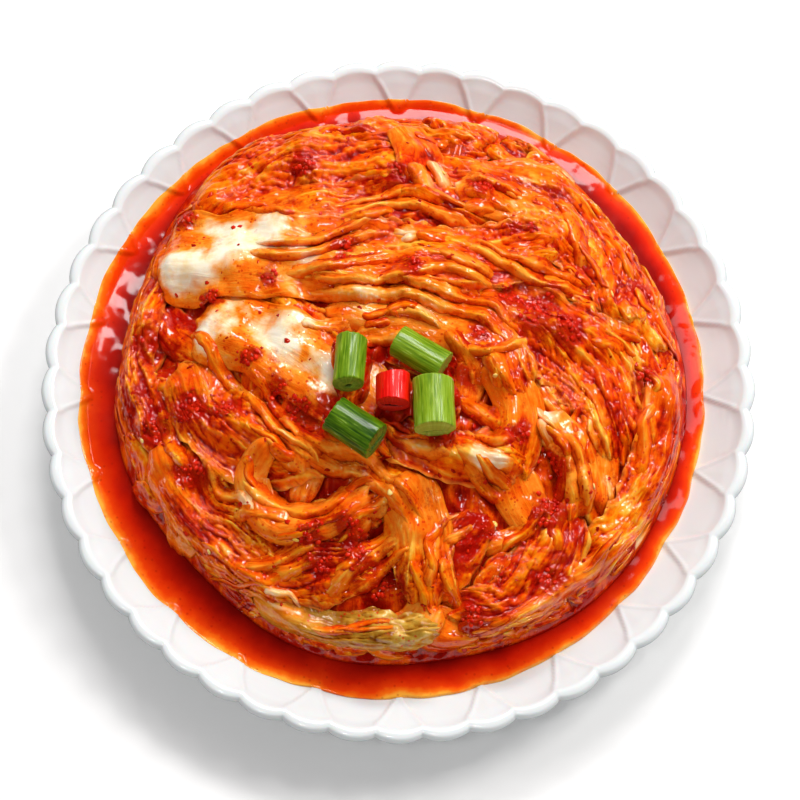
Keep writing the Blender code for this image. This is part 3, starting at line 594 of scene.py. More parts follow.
def chili_sauce():
    """Kimchi juice thick with chili: clear orange where thin, deep red where it stands deep."""
    mat, tree = new_material("chili_sauce")
    place = add_node(tree, "ShaderNodeTexCoord")
    look = add_node(tree, "ShaderNodeAttribute", attribute_name="look")
    depth = add_node(tree, "ShaderNodeSeparateColor", {"Color": look.outputs["Color"]})
    cloud = add_node(tree, "ShaderNodeTexNoise", {"Vector": place.outputs["Object"], "Scale": 90.0,
                                                  "Detail": 4.0, "Roughness": 0.6})
    swing = add_node(tree, "ShaderNodeMapRange", {"Value": cloud.outputs["Fac"], "From Min": 0.3,
                                                  "From Max": 0.7, "To Min": -0.12, "To Max": 0.12})
    total = add_node(tree, "ShaderNodeMath", {0: depth.outputs["Red"], 1: swing.outputs["Result"]},
                     operation="ADD")
    colour = add_node(tree, "ShaderNodeValToRGB", {"Fac": total.outputs["Value"]},
                      stops=((0.0, "#FFAC38"), (1.0, "#900400"), (0.10, "#FC7010"), (0.24, "#EE3E04"),
                             (0.50, "#D82000"), (0.75, "#B81000")))
    speck = add_node(tree, "ShaderNodeTexVoronoi", {"Vector": place.outputs["Object"], "Scale": 420.0,
                                                    "Randomness": 1.0})
    spot = add_node(tree, "ShaderNodeMapRange", {"Value": speck.outputs["Distance"], "From Min": 0.08,
                                                 "From Max": 0.22, "To Min": 0.4, "To Max": 0.0})
    red = add_node(tree, "ShaderNodeMix", {0: spot.outputs["Result"], 6: colour.outputs["Color"],
                                           7: linear("#A81002")}, data_type="RGBA")
    bump = add_node(tree, "ShaderNodeBump", {"Height": cloud.outputs["Fac"], "Strength": 0.08,
                                             "Distance": 0.0005})
    shader = add_node(tree, "ShaderNodeBsdfPrincipled",
                      {"Base Color": red.outputs[2], "Roughness": 0.2, "IOR": 1.36,
                       "Specular IOR Level": 0.1, "Coat Weight": 0.55, "Coat Roughness": 0.04, "Normal": bump.outputs["Normal"]})
    add_node(tree, "ShaderNodeOutputMaterial", {"Surface": shader.outputs["BSDF"]})
    return mat


def pickled_cabbage(name, dark=0.0, greener=False):
    """Salted napa cabbage in chili paste: limp wet tissue, cream at the stem, orange in the leaf.

    The look attribute carries crest height, stem whiteness, pale margin and paste; the grain map runs
    across and along the fibres. Colours keyed to the crest are darker low down, partly juice in the creases
    and partly painted shade, and lighter on the ridges as painted light; the pale margin is partly a painted
    glow through the thin edge; dark shifts the piece darker as painted shade.
    """
    mat, tree = new_material(name)
    place = add_node(tree, "ShaderNodeTexCoord")
    grain = add_node(tree, "ShaderNodeUVMap", uv_map="grain")
    look = add_node(tree, "ShaderNodeAttribute", attribute_name="look")
    part = add_node(tree, "ShaderNodeSeparateColor", {"Color": look.outputs["Color"]})
    # Fibres about 1.1 mm apart and 8 mm long.
    drawn = add_node(tree, "ShaderNodeMapping", {"Vector": grain.outputs["UV"], "Scale": (900.0, 125.0, 1.0)})
    fibre = add_node(tree, "ShaderNodeTexNoise", {"Vector": drawn.outputs["Vector"], "Scale": 1.0,
                                                  "Detail": 5.0, "Roughness": 0.65, "Distortion": 0.4})
    mottle = add_node(tree, "ShaderNodeTexNoise", {"Vector": place.outputs["Object"], "Scale": 190.0,
                                                   "Detail": 5.0, "Roughness": 0.65})
    streak = add_node(tree, "ShaderNodeMath", {0: fibre.outputs["Fac"], 1: mottle.outputs["Fac"]},
                      operation="ADD")
    # dark shifts every colour of the piece darker as painted shade: the core in the gaps between leaves, the nest
    # under the garnish.
    swing = add_node(tree, "ShaderNodeMapRange", {"Value": streak.outputs["Value"], "From Min": 0.65,
                                                  "From Max": 1.35, "To Min": -0.30 - dark,
                                                  "To Max": 0.30 - dark})
    height = add_node(tree, "ShaderNodeMath", {0: part.outputs["Red"], 1: swing.outputs["Result"]},
                      operation="ADD")
    leaf_stops = ((0.0, "#900800"), (1.0, "#FFB638"), (0.2, "#C82200"), (0.38, "#E84800"),
                  (0.58, "#F66A00"), (0.8, "#FC900C"))
    if greener:
        leaf_stops = ((0.0, "#6A2400"), (1.0, "#ECC878"), (0.25, "#9C5406"), (0.5, "#BC8424"),
                      (0.75, "#D2A440"))
    leaf = add_node(tree, "ShaderNodeValToRGB", {"Fac": height.outputs["Value"]}, stops=leaf_stops)
    soft = add_node(tree, "ShaderNodeMapRange", {"Value": mottle.outputs["Fac"], "From Min": 0.3,
                                                 "From Max": 0.7, "To Min": -0.26, "To Max": 0.26})
    even = add_node(tree, "ShaderNodeMath", {0: part.outputs["Red"], 1: soft.outputs["Result"]},
                    operation="ADD")
    stalk = add_node(tree, "ShaderNodeValToRGB", {"Fac": even.outputs["Value"]},
                     stops=((0.0, "#E88420"), (1.0, "#FFFAEA"), (0.18, "#FFB85C"), (0.36, "#FFE0AC"),
                            (0.6, "#FFF0D4")))
    # The white of the stem breaks up into the stained leaf in patches.
    stain = add_node(tree, "ShaderNodeTexNoise", {"Vector": place.outputs["Object"], "Scale": 80.0,
                                                  "Detail": 4.0, "Roughness": 0.5})
    patch = add_node(tree, "ShaderNodeMapRange", {"Value": stain.outputs["Fac"], "From Min": 0.38,
                                                  "From Max": 0.62, "To Min": 0.12, "To Max": 1.1})
    white_share = add_node(tree, "ShaderNodeMath", {0: part.outputs["Green"], 1: patch.outputs["Result"]},
                           operation="MULTIPLY", use_clamp=True)
    # From stained leaf through gold to the cream of the stem.
    gold = add_node(tree, "ShaderNodeMapRange", {"Value": white_share.outputs["Value"], "From Max": 0.45})
    golden = add_node(tree, "ShaderNodeValToRGB", {"Fac": height.outputs["Value"]},
                      stops=((0.05, "#C84400"), (0.95, "#FFCA58"), (0.42, "#FF8A10")))
    cream = add_node(tree, "ShaderNodeMapRange", {"Value": white_share.outputs["Value"], "From Min": 0.35,
                                                  "From Max": 0.85})
    warm = add_node(tree, "ShaderNodeMix", {0: gold.outputs["Result"], 6: leaf.outputs["Color"],
                                            7: golden.outputs["Color"]}, data_type="RGBA")
    body = add_node(tree, "ShaderNodeMix", {0: cream.outputs["Result"], 6: warm.outputs[2],
                                            7: stalk.outputs["Color"]}, data_type="RGBA")
    # The pale edge colour is partly the leaf's own margin, partly a painted glow through the thin edge.
    rim = add_node(tree, "ShaderNodeMath", {0: part.outputs["Blue"], 1: 0.4}, operation="MULTIPLY")
    edged = add_node(tree, "ShaderNodeMix", {0: rim.outputs["Value"], 6: body.outputs[2],
                                             7: linear("#FFAC48")}, data_type="RGBA")
    # Chili paste lies in patches, more of it in the folds and along the fibres.
    smear = add_node(tree, "ShaderNodeTexNoise", {"Vector": place.outputs["Object"], "Scale": 260.0,
                                                  "Detail": 7.0, "Roughness": 0.75})
    low = add_node(tree, "ShaderNodeMath", {0: look.outputs["Alpha"], 1: smear.outputs["Fac"]},
                   operation="ADD")
    less = add_node(tree, "ShaderNodeMath", {0: part.outputs["Red"], 1: -0.35, 2: low.outputs["Value"]},
                    operation="MULTIPLY_ADD")
    paste = add_node(tree, "ShaderNodeMapRange", {"Value": less.outputs["Value"], "From Min": 0.60,
                                                  "From Max": 0.82, "To Max": 0.9})
    red = add_node(tree, "ShaderNodeMix", {0: paste.outputs["Result"], 6: edged.outputs[2],
                                           7: linear("#B00C00")}, data_type="RGBA")
    # Specks of ground chili, thick in some places and none in others.
    fleck = add_node(tree, "ShaderNodeTexVoronoi", {"Vector": place.outputs["Object"], "Scale": 560.0})
    where = add_node(tree, "ShaderNodeMapRange", {"Value": stain.outputs["Fac"], "From Min": 0.42,
                                                  "From Max": 0.62, "To Min": 0.30, "To Max": -0.05})
    near = add_node(tree, "ShaderNodeMath", {0: where.outputs["Result"], 1: fleck.outputs["Distance"]},
                    operation="SUBTRACT")
    dot = add_node(tree, "ShaderNodeMapRange", {"Value": near.outputs["Value"], "From Max": 0.10,
                                                "To Max": 0.75})
    spotted = add_node(tree, "ShaderNodeMix", {0: dot.outputs["Result"], 6: red.outputs[2],
                                               7: linear("#D02404")}, data_type="RGBA")
    firm = add_node(tree, "ShaderNodeMapRange", {"Value": white_share.outputs["Value"], "To Min": 0.7,
                                                 "To Max": 0.2})
    tissue = add_node(tree, "ShaderNodeBump", {"Height": streak.outputs["Value"],
                                               "Strength": firm.outputs["Result"], "Distance": 0.0008})
    # The film of juice over it is uneven in its own way.
    film = add_node(tree, "ShaderNodeTexNoise", {"Vector": place.outputs["Object"], "Scale": 260.0,
                                                 "Detail": 2.0, "Roughness": 0.5})
    wet = add_node(tree, "ShaderNodeBump", {"Height": film.outputs["Fac"], "Strength": 0.45,
                                            "Distance": 0.0012})
    shader = add_node(tree, "ShaderNodeBsdfPrincipled",
                      {"Base Color": spotted.outputs[2], "Roughness": 0.45, "IOR": 1.36,
                       "Specular IOR Level": 0.05, "Subsurface Weight": 0.15, "Subsurface Scale": 0.002,
                       "Subsurface Radius": (1.0, 0.3, 0.08), "Coat Weight": 0.9,
                       "Coat Roughness": 0.03, "Normal": tissue.outputs["Normal"],
                       "Coat Normal": wet.outputs["Normal"]})
    add_node(tree, "ShaderNodeOutputMaterial", {"Surface": shader.outputs["BSDF"]})
    return mat


def cut_vegetable(name, skin_stops, flesh, inside, fibre_light, values):
    """A cut tube: skin with fine fibres along it and painted glints along them, paler flesh at the cut, and an
    opening darkened with painted shade.
    """
    mat, tree = new_material(name)
    grain = add_node(tree, "ShaderNodeUVMap", uv_map="grain")
    look = add_node(tree, "ShaderNodeAttribute", attribute_name="look")
    part = add_node(tree, "ShaderNodeSeparateColor", {"Color": look.outputs["Color"]})
    # Fibres about 0.5 mm apart and 5 mm long.
    drawn = add_node(tree, "ShaderNodeMapping", {"Vector": grain.outputs["UV"], "Scale": (2000.0, 200.0, 1.0)})
    fibre = add_node(tree, "ShaderNodeTexNoise", {"Vector": drawn.outputs["Vector"], "Scale": 1.0,
                                                  "Detail": 4.0, "Roughness": 0.6})
    swing = add_node(tree, "ShaderNodeMapRange", {"Value": fibre.outputs["Fac"], "From Min": 0.3,
                                                  "From Max": 0.7, "To Min": -0.16, "To Max": 0.16})
    tone = add_node(tree, "ShaderNodeMath", {0: part.outputs["Red"], 1: swing.outputs["Result"]},
                    operation="ADD")
    skin = add_node(tree, "ShaderNodeValToRGB", {"Fac": tone.outputs["Value"]}, stops=skin_stops)
    cut = add_node(tree, "ShaderNodeMix", {0: part.outputs["Green"], 6: skin.outputs["Color"],
                                           7: linear(flesh)}, data_type="RGBA")
    # The bore's inner face takes the dark inside colour as painted shade in the opening.
    hollow = add_node(tree, "ShaderNodeMix", {0: part.outputs["Blue"], 6: cut.outputs[2],
                                              7: linear(inside)}, data_type="RGBA")
    # Light streaks along the fibres are painted glints.
    lit = add_node(tree, "ShaderNodeMapRange", {"Value": fibre.outputs["Fac"], "From Min": 0.62,
                                                "From Max": 0.74, "To Max": 0.35})
    streaked = add_node(tree, "ShaderNodeMix", {0: lit.outputs["Result"], 6: hollow.outputs[2],
                                                7: linear(fibre_light)}, data_type="RGBA")
    bump = add_node(tree, "ShaderNodeBump", {"Height": fibre.outputs["Fac"], "Strength": 0.35,
                                             "Distance": 0.0002})
    shader = add_node(tree, "ShaderNodeBsdfPrincipled",
                      dict(values, **{"Base Color": streaked.outputs[2], "Normal": bump.outputs["Normal"]}))
    add_node(tree, "ShaderNodeOutputMaterial", {"Surface": shader.outputs["BSDF"]})
    return mat


def spring_onion():
    """Fresh spring onion, cut across: a waxy green tube, paler at the cut."""
    # The third colour is painted shade inside the bore; the fourth is painted glints along the fibres.
    return cut_vegetable("spring_onion", ((0.0, "#1E4600"), (1.0, "#B8D27A"), (0.3, "#567C00"),
                                          (0.6, "#86A41C"), (0.8, "#98BA48")),
                         "#A8BC50", "#2C3C06", "#D2E48C",
                         {"Roughness": 0.4, "IOR": 1.42, "Specular IOR Level": 0.25, "Subsurface Weight": 0.15,
                          "Subsurface Scale": 0.002, "Subsurface Radius": (0.4, 1.0, 0.2),
                          "Coat Weight": 0.35, "Coat Roughness": 0.08})


def fresh_chili():
    """Fresh red chili, cut across: thin glossy skin over a wall that is paler inside."""
    # The third colour is painted shade inside the bore; the fourth is painted glints along the fibres.
    return cut_vegetable("fresh_chili", ((0.0, "#A80000"), (1.0, "#FF2A10"), (0.5, "#E20600")),
                         "#E8402A", "#5C0400", "#FF4A28",
                         {"Roughness": 0.35, "IOR": 1.45, "Specular IOR Level": 0.2, "Subsurface Weight": 0.1,
                          "Subsurface Scale": 0.002, "Subsurface Radius": (1.0, 0.2, 0.1),
                          "Coat Weight": 0.5, "Coat Roughness": 0.05})


def chili_flake(name, dark, light):
    """Dried chili, crushed: leathery scraps wetted by the sauce, darker and lighter piece by piece."""
    mat, tree = new_material(name)
    place = add_node(tree, "ShaderNodeTexCoord")
    vary = add_node(tree, "ShaderNodeTexNoise", {"Vector": place.outputs["Object"], "Scale": 350.0,
                                                 "Detail": 2.0})
    colour = add_node(tree, "ShaderNodeValToRGB", {"Fac": vary.outputs["Fac"]},
                      stops=((0.35, dark), (0.65, light)))
    shader = add_node(tree, "ShaderNodeBsdfPrincipled",
                      {"Base Color": colour.outputs["Color"], "Roughness": 0.35, "IOR": 1.4,
                       "Specular IOR Level": 0.08, "Coat Weight": 0.6, "Coat Roughness": 0.04})
    add_node(tree, "ShaderNodeOutputMaterial", {"Surface": shader.outputs["BSDF"]})
    return mat


def studio_floor(colour):
    """Plain matt studio paper, white."""
    mat, tree = new_material("studio_floor")
    shader = add_node(tree, "ShaderNodeBsdfPrincipled", {"Base Color": (*colour, 1.0), "Roughness": 0.9,
                                                         "Specular IOR Level": 0.2})
    add_node(tree, "ShaderNodeOutputMaterial", {"Surface": shader.outputs["BSDF"]})
    return mat


# --- settings ------------------------------------------------------------------------------------

class PlateSettings(bpy.types.PropertyGroup):
    """Sizes of the plate."""

    scallop_depth: FloatProperty(name="Scallop depth", description="How far the notches cut into the edge",
                                 default=0.0018, unit="LENGTH")
    facet_raise: FloatProperty(name="Triangle height", description="How far the triangles stand out",
                               default=0.0009, unit="LENGTH")
    rib_height: FloatProperty(name="Rib height", description="Height of the fine rib round a triangle",
                              default=0.0007, unit="LENGTH")
    facets: IntProperty(name="Triangles", description="Raised triangles round the flange", default=FACETS)


class FoodSettings(bpy.types.PropertyGroup):
    """Sizes and amounts of the kimchi."""

    level: FloatProperty(name="Sauce level", description="Height of the sauce", default=SAUCE_LEVEL,
                         unit="LENGTH")
    ridges: FloatProperty(name="Ridge height", description="Factor on the height of the leaves' ridges",
                          default=1.0)
    flakes: IntProperty(name="Chili flakes", description="About how many flakes lie on the heap", default=1000)
    seeds: IntProperty(name="Chili seeds", description="About how many seeds lie on the heap", default=12)
    seed: IntProperty(name="Seed", description="Seed of everything scattered", default=7)


class StageSettings(bpy.types.PropertyGroup):
    """Light and camera."""

    elevation: FloatProperty(name="Camera elevation", description="Angle of the camera above the table",
                             default=math.radians(72.8), subtype="ANGLE")
    distance: FloatProperty(name="Camera distance", description="From the middle of the rim",
                            default=0.8254, unit="LENGTH")
    floor: FloatVectorProperty(name="Floor", description="Colour of the floor", subtype="COLOR",
                               default=linear("#FAFAFA")[:3], size=3)


# --- plate ---------------------------------------------------------------------------------------

def upper_height(radius):
    """Height in mm of the plate's upper face between the triangles, rounded over its bends."""
    radii = [0.0, 52.0] + [r for r, _ in UPPER_PROFILE]
    heights = [UPPER_PROFILE[0][1]] * 2 + [h for _, h in UPPER_PROFILE]
    blurred = [np.interp(radius + d, radii, heights) for d in (-2.4, -1.2, 0.0, 1.2, 2.4)]
    return sum(blurred) / len(blurred)


def on_facet(radius, angle, raise_mm, rib_mm):
    """What the raised triangles and the ribs along their sides add to the flange, in mm."""
    every = 2 * math.pi / FACETS
    off = np.abs((angle + every / 2) % every - every / 2) * radius
    half = np.clip((radius - FACET_TIP) / (FACET_BASE - FACET_TIP), 0, 1.2) * every / 4 * FACET_BASE
    inside = smoothstep(0.5, -0.5, off - half) * smoothstep(FACET_TIP - 1.0, FACET_TIP + 1.5, radius)
    rib = np.exp(-((off - half) / 0.55) ** 2) * smoothstep(FACET_TIP - 1.5, FACET_TIP + 1.0, radius)
    fade = smoothstep(107.6, 106.0, radius)
    return (raise_mm * inside * (1 - 0.35 * off / (every / 4 * FACET_BASE)) + rib_mm * rib) * fade


def plate_sector(settings):
    """One triangle with its two petals: the part of the plate that is repeated round it."""
    every = 2 * math.pi / settings.facets
    depth = settings.scallop_depth / MM
    angle = np.linspace(-every / 2, every / 2, 41)[None, :]
    upper = np.concatenate([np.linspace(2, 60, 10), np.linspace(63, 91, 12), np.linspace(92.5, 107.0, 26)])
    turn = np.radians(np.linspace(62, -100, 13))
    lip = np.stack([108.0 + 2.6 * np.cos(turn), 21.8 + 2.5 * np.sin(turn)], -1)
    below = [(105.0, 18.0), (101.0, 15.2), (98.0, 13.0), (92.0, 9.9), (87.0, 7.8), (82.0, 5.8), (77.0, 4.2),
             (73.0, 3.3), (71.0, 3.0), (70.2, 2.2), (70.0, 0.8), (69.4, 0.1), (68.6, 0.0), (65.4, 0.0),
             (64.6, 0.1), (64.0, 0.8), (63.6, 1.7), (62.6, 2.2), (50.0, 2.2), (25.0, 2.2), (2.0, 2.2)]
    radius = np.concatenate([upper, lip[:, 0], [r for r, _ in below]])[:, None]
    rows = len(radius)
    petal = np.abs(np.cos(0.5 * SCALLOPS * angle)) ** 0.8
    share = np.clip((radius - 99.0) / 9.0, 0, 1) ** 1.5
    drawn = radius - depth * share * (1 - petal)
    height = np.zeros((rows, angle.size))
    count = len(upper)
    facet = on_facet(radius[:count], angle, settings.facet_raise / MM, settings.rib_height / MM)
    height[:count] = upper_height(radius[:count]) + facet
    crest = smoothstep(103.5, 107.5, radius[:count])
    height[:count] = height[:count] * (1 - crest) + crest * (23.1 + 0.9 * (radius[:count] - 106.0) * 0.75)
    height[count:count + len(lip)] = lip[:, 1:]
    height[count + len(lip):] = np.array([h for _, h in below])[:, None]
    height -= 0.55 * share * (1 - petal) * (height > 19.0)
    x, y = drawn * np.cos(angle), drawn * np.sin(angle)
    points = np.stack(np.broadcast_arrays(x, y, height), -1).reshape(-1, 3) * MM
    return points, grid_faces(rows, angle.size)


def repeat_round(material):
    """Geometry Nodes: the input mesh repeated round +Z and welded into one."""
    tree = bpy.data.node_groups.new("repeat_round", "GeometryNodeTree")
    face = tree.interface
    face.new_socket("Geometry", in_out="INPUT", socket_type="NodeSocketGeometry")
    face.new_socket("Count", in_out="INPUT", socket_type="NodeSocketInt")
    face.new_socket("Weld", in_out="INPUT", socket_type="NodeSocketFloat")
    face.new_socket("Geometry", in_out="OUTPUT", socket_type="NodeSocketGeometry")
    given = add_node(tree, "NodeGroupInput")
    places = add_node(tree, "GeometryNodeMeshLine", {"Count": given.outputs["Count"], "Offset": (0, 0, 0)})
    number = add_node(tree, "GeometryNodeInputIndex")
    turn = add_node(tree, "ShaderNodeMath", {0: 2 * math.pi, 1: given.outputs["Count"]}, operation="DIVIDE")
    angle = add_node(tree, "ShaderNodeMath", {0: number.outputs["Index"], 1: turn.outputs["Value"]},
                     operation="MULTIPLY")
    spin = add_node(tree, "ShaderNodeCombineXYZ", {"Z": angle.outputs["Value"]})
    copies = add_node(tree, "GeometryNodeInstanceOnPoints",
                      {"Points": places.outputs["Mesh"], "Instance": given.outputs["Geometry"],
                       "Rotation": spin.outputs["Vector"]})
    real = add_node(tree, "GeometryNodeRealizeInstances", {"Geometry": copies.outputs["Instances"]})
    welded = add_node(tree, "GeometryNodeMergeByDistance", {"Geometry": real.outputs["Geometry"],
                                                            "Distance": given.outputs["Weld"]})
    dressed = add_node(tree, "GeometryNodeSetMaterial", {"Geometry": welded.outputs["Geometry"],
                                                         "Material": material})
    add_node(tree, "NodeGroupOutput", {"Geometry": dressed.outputs["Geometry"]})
    return tree


class KIMCHI_OT_plate(bpy.types.Operator):
    """Build the scalloped plate from one sector repeated round it"""

    bl_idname = "kimchi.plate"
    bl_label = "Plate"

    def execute(self, context):
        settings = context.scene.kimchi_plate
        glaze = glazed_porcelain()
        points, faces = plate_sector(settings)
        sector = mesh_object("plate_sector", points, faces, glaze)
        mesh = run_nodes(sector, repeat_round(glaze), {"Count": settings.facets, "Weld": 0.00002})
        bpy.data.objects.remove(sector)
        bm = bmesh.new()
        bm.from_mesh(mesh)
        bmesh.ops.holes_fill(bm, edges=[e for e in bm.edges if e.is_boundary])
        bmesh.ops.recalc_face_normals(bm, faces=bm.faces)
        bm.to_mesh(mesh)
        bm.free()
        mesh.shade_smooth()
        plate = bpy.data.objects.new("scalloped_plate", mesh)
        context.scene.collection.objects.link(plate)
        settle(plate, "porcelain", "plate")
        return {"FINISHED"}


# --- sauce ---------------------------------------------------------------------------------------

class KIMCHI_OT_sauce(bpy.types.Operator):
    """Build the pool of sauce, which thins out against the plate's wall"""

    bl_idname = "kimchi.sauce"
    bl_label = "Sauce"

    def execute(self, context):
        level = context.scene.kimchi_food.level / MM
        plate = context.scene.kimchi_plate
        columns = 840
        angle = np.linspace(0, 2 * math.pi, columns, endpoint=False)[None, :]
        # Where the plate's face, with its triangles, comes up to the level.
        reach = np.full_like(angle, 80.0)
        for radius in np.arange(80.0, 104.0, 0.1):
            wall = upper_height(radius) + on_facet(radius, angle, plate.facet_raise / MM, plate.rib_height / MM)
            reach = np.where(wall < level - 0.15, radius, reach)
        # Its edge is rounded by surface tension; at the back left it has run up the wall as a film.
        window = 2 * int(columns * 2.5 / 360) + 1
        for _ in range(2):
            reach = sum(np.roll(reach, k - window // 2, 1) for k in range(window)) / window
        reach = reach + 0.6 + 2.6 * np.cos(angle - math.radians(138)) + 0.6 * noise(angle * 3.2, 0 * angle, 3)
        reach = reach + 0.35 * noise(angle * 11, 0 * angle, 4)
        share = np.concatenate([np.linspace(0.0, 0.86, 40), 1 - 0.14 * np.linspace(1, 0, 18)[1:] ** 1.4])[:, None]
        inner = 60.0
        r = inner + (reach - inner) * share
        x, y = r * np.cos(angle), r * np.sin(angle)
        wall = upper_height(r) + on_facet(r, angle, plate.facet_raise / MM, plate.rib_height / MM)
        top = level - 0.08 + 0.06 * noise(x / 11, y / 11, 5) + 0.02 * noise(x / 3.5, y / 3.5, 6)
        rounded = np.clip((reach - r) / 1.6, 0, 1) ** 0.5
        film = wall + 0.05 + 0.30 * rounded
        top = np.maximum(np.minimum(top, film + 2.5 * (reach - r)), film)
        # Deeper red with the distance in from the edge; darker still towards the right as painted shade beside
        # the heap.
        depth = np.clip((reach - r) / 9.0 * (1 + 0.35 * np.cos(angle - math.radians(35))), 0, 1)
        rows = len(share)
        under = wall - 0.4
        points = np.concatenate([np.stack([x, y, top], -1).reshape(-1, 3),
                                 np.stack([x, y, under], -1)[::-1].reshape(-1, 3)]) * MM
        values = np.concatenate([depth.reshape(-1), depth[::-1].reshape(-1)])
        look = np.stack([values, 0 * values, 0 * values, 1 + 0 * values], -1)
        faces = np.concatenate([grid_faces(2 * rows, columns, wrap=True),
                                [[j, j + (2 * rows - 1) * columns, (j + 1) % columns + (2 * rows - 1) * columns,
                                  (j + 1) % columns] for j in range(columns)]])
        pool = mesh_object("chili_sauce_pool", points, faces, chili_sauce(), look)
        face_outward(pool)
        settle(pool, "sauce", "sauce")
        return {"FINISHED"}


# --- leaves --------------------------------------------------------------------------------------

class KIMCHI_OT_core(bpy.types.Operator):
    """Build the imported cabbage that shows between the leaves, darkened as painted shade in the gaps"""

    bl_idname = "kimchi.core"
    bl_label = "Packed core"

    def execute(self, context):
        rows, columns = 150, 520
        angle = np.linspace(0, 2 * math.pi, columns, endpoint=False)[None, :]
        share = np.linspace(0.004, 1.0, rows)[:, None] ** 0.8
        r = outline(angle) * share
        x, y = r * np.cos(angle), r * np.sin(angle)
        warp_x, warp_y = 5 * noise(x / 22, y / 22, 21), 5 * noise(x / 22, y / 22, 27)
        folds = 1 - 2 * np.abs(noise((x + warp_x) / 6.5, (y + warp_y) / 11, 22))
        lumps = noise(x / 8, y / 8, 23)
        fine = noise(x / 2.6, y / 2.6, 24)
        relief = 1.6 * (folds - 0.5) + 1.2 * lumps + 0.35 * fine
        z = dome(x, y) - CORE_INSET - 0.8 + relief * smoothstep(1.0, 0.97, share)
        edge = outline(angle) - 1.0 + 1.2 * noise(angle * 14, 0 * angle, 25)
        skirt_r = np.concatenate([edge, edge - 1.5, edge - 3.0], 0)
        skirt_z = np.array([17.6, 15.0, 13.0])[:, None] + 0 * angle
        x = np.concatenate([x, skirt_r * np.cos(angle)])
        y = np.concatenate([y, skirt_r * np.sin(angle)])
        z = np.concatenate([z, skirt_z])
        # The core's colour is darker in its folds and lower than the leaves', and darkest on the skirt under the
        # leaves' edge: painted shade.
        crest = np.clip(0.35 + 0.3 * (folds - 0.5) + 0.25 * lumps, 0, 1)
        crest = np.concatenate([crest, np.full((3, columns), 0.15)])
        redness = np.clip(0.3 + 0.3 * noise(x / 12, y / 12, 26), 0, 1)
        look = np.stack([crest, 0 * crest, 0 * crest, redness], -1).reshape(-1, 4)
        points = np.stack([x, y, z], -1).reshape(-1, 3) * MM
        faces = grid_faces(rows + 3, columns, wrap=True).tolist()
        faces.append(list(range(columns)))
        faces.append(list(range((rows + 2) * columns, (rows + 3) * columns)))
        grain = np.stack([x, y], -1).reshape(-1, 2) * MM
        # Its colours are shifted darker by 0.12 as painted shade in the gaps between the leaves.
        core = mesh_object("packed_cabbage", points, faces, pickled_cabbage("cabbage_core", 0.12), look, grain)
        face_outward(core)
        settle(core, "kimchi", "kimchi_heap")
        return {"FINISHED"}


def flow_samples():
    """Places along all leaves and folds, with twice the angle in which they run there."""
    places, angles = [], []
    for path in [leaf["path"] for leaf in LEAVES.values()] + [fold[0] for fold in FOLDS]:
        points, side, _ = path_points(path, np.linspace(0.05, 0.95, 8))
        places.append(points)
        angles.append(2 * (np.arctan2(side[:, 1], side[:, 0]) - math.pi / 2))
    return np.concatenate(places), np.concatenate(angles)


def flow(samples, place):
    """Direction in which the leaves and folds run near a place, as an angle."""
    points, angles = samples
    weight = 1.0 / (((points - place) ** 2).sum(1) + 20.0) ** 2
    return math.atan2((weight * np.sin(angles)).sum(), (weight * np.cos(angles)).sum()) / 2


def chopped_pieces(bed, samples, rng):
    """Short pieces of leaf laid over the core, along the flow of the large leaves."""
    parts = []
    places = []
    while len(places) < 84:
        angle, share = rng.uniform(0, 2 * math.pi), math.sqrt(rng.uniform(0.05, 0.93))
        reach = float(outline(np.array(angle))) * share
        place = np.array((reach * math.cos(angle), reach * math.sin(angle)))
        if all(np.hypot(*(place - other)) > 11.5 for other in places) or rng.random() < 0.002:
            places.append(place)
    for angle in np.linspace(0, 2 * math.pi, 44, endpoint=False) + rng.uniform(-0.04, 0.04, 44):
        reach = float(outline(np.array(angle))) * rng.uniform(0.93, 1.0)
        places.append(np.array((reach * math.cos(angle), reach * math.sin(angle))))
    places.sort(key=lambda place: -np.hypot(*place))
    for number, place in enumerate(places):
        turn = flow(samples, place) + rng.normal(0, 0.45)
        at_rim = np.hypot(*place) > 0.9 * HEAP_RADIUS
        if at_rim:
            turn = math.atan2(place[1], place[0]) + math.pi / 2 + rng.normal(0, 0.8)
        half = rng.uniform(6, 11) if at_rim else rng.uniform(8, 15)
        bend = rng.uniform(-4, 4)
        ahead = np.array((math.cos(turn), math.sin(turn)))
        aside = np.array((-ahead[1], ahead[0]))
        path = [place - half * ahead, place + bend * aside, place + half * ahead]
        size = rng.uniform(4.5, 8.5)
        stem = rng.random() < 0.22
        # On the left some lie in the sauce.
        spread = 0.17 if at_rim and place[0] < -70 else 0.12
        # Pieces on the heap's left get extra painted shade, where that side lies in shadow.
        parts.append(draped_leaf(bed, 1000 + 25 * number, path, (0.8 * size, size, 0.8 * size), (2.5, 2.5),
                                 rng.uniform(2.4, 4.2), rng.uniform(0.9, 1.5), 0.5 if stem else 0.0,
                                 0.9 if stem else 0.0, rng.uniform(0.0, 0.35),
                                 0.4 * (place[0] < -55) + rng.uniform(0, 0.25), cell=0.62, ends=6.0,
                                 spread=spread))
    return parts


def strand_parts(bed):
    """Folds laid over the leaves, the wide ones of two strands side by side."""
    parts = []
    for number, (path, half, height, pale) in enumerate(FOLDS):
        count = 2 if half > 2.5 else 1
        for k in range(count):
            size = half * (1.4 if count == 1 else 1.05 - 0.2 * k)
            # The second strand of a pair gets a little painted shade.
            parts.append(draped_leaf(bed, 4000 + 50 * number + 24 * k, path, (0.85 * size, size, 0.8 * size),
                                     (height, height), 1.6, 1.3, 0.8 * pale, 2.0, 0.2, 0.15 * k, cell=0.46,
                                     ends=9.0, sink=0.25, aside=(2 * k - 1) * (count - 1) * 0.75 * half,
                                     soft=1.2 - 0.3 * k, fold=True))
    return parts


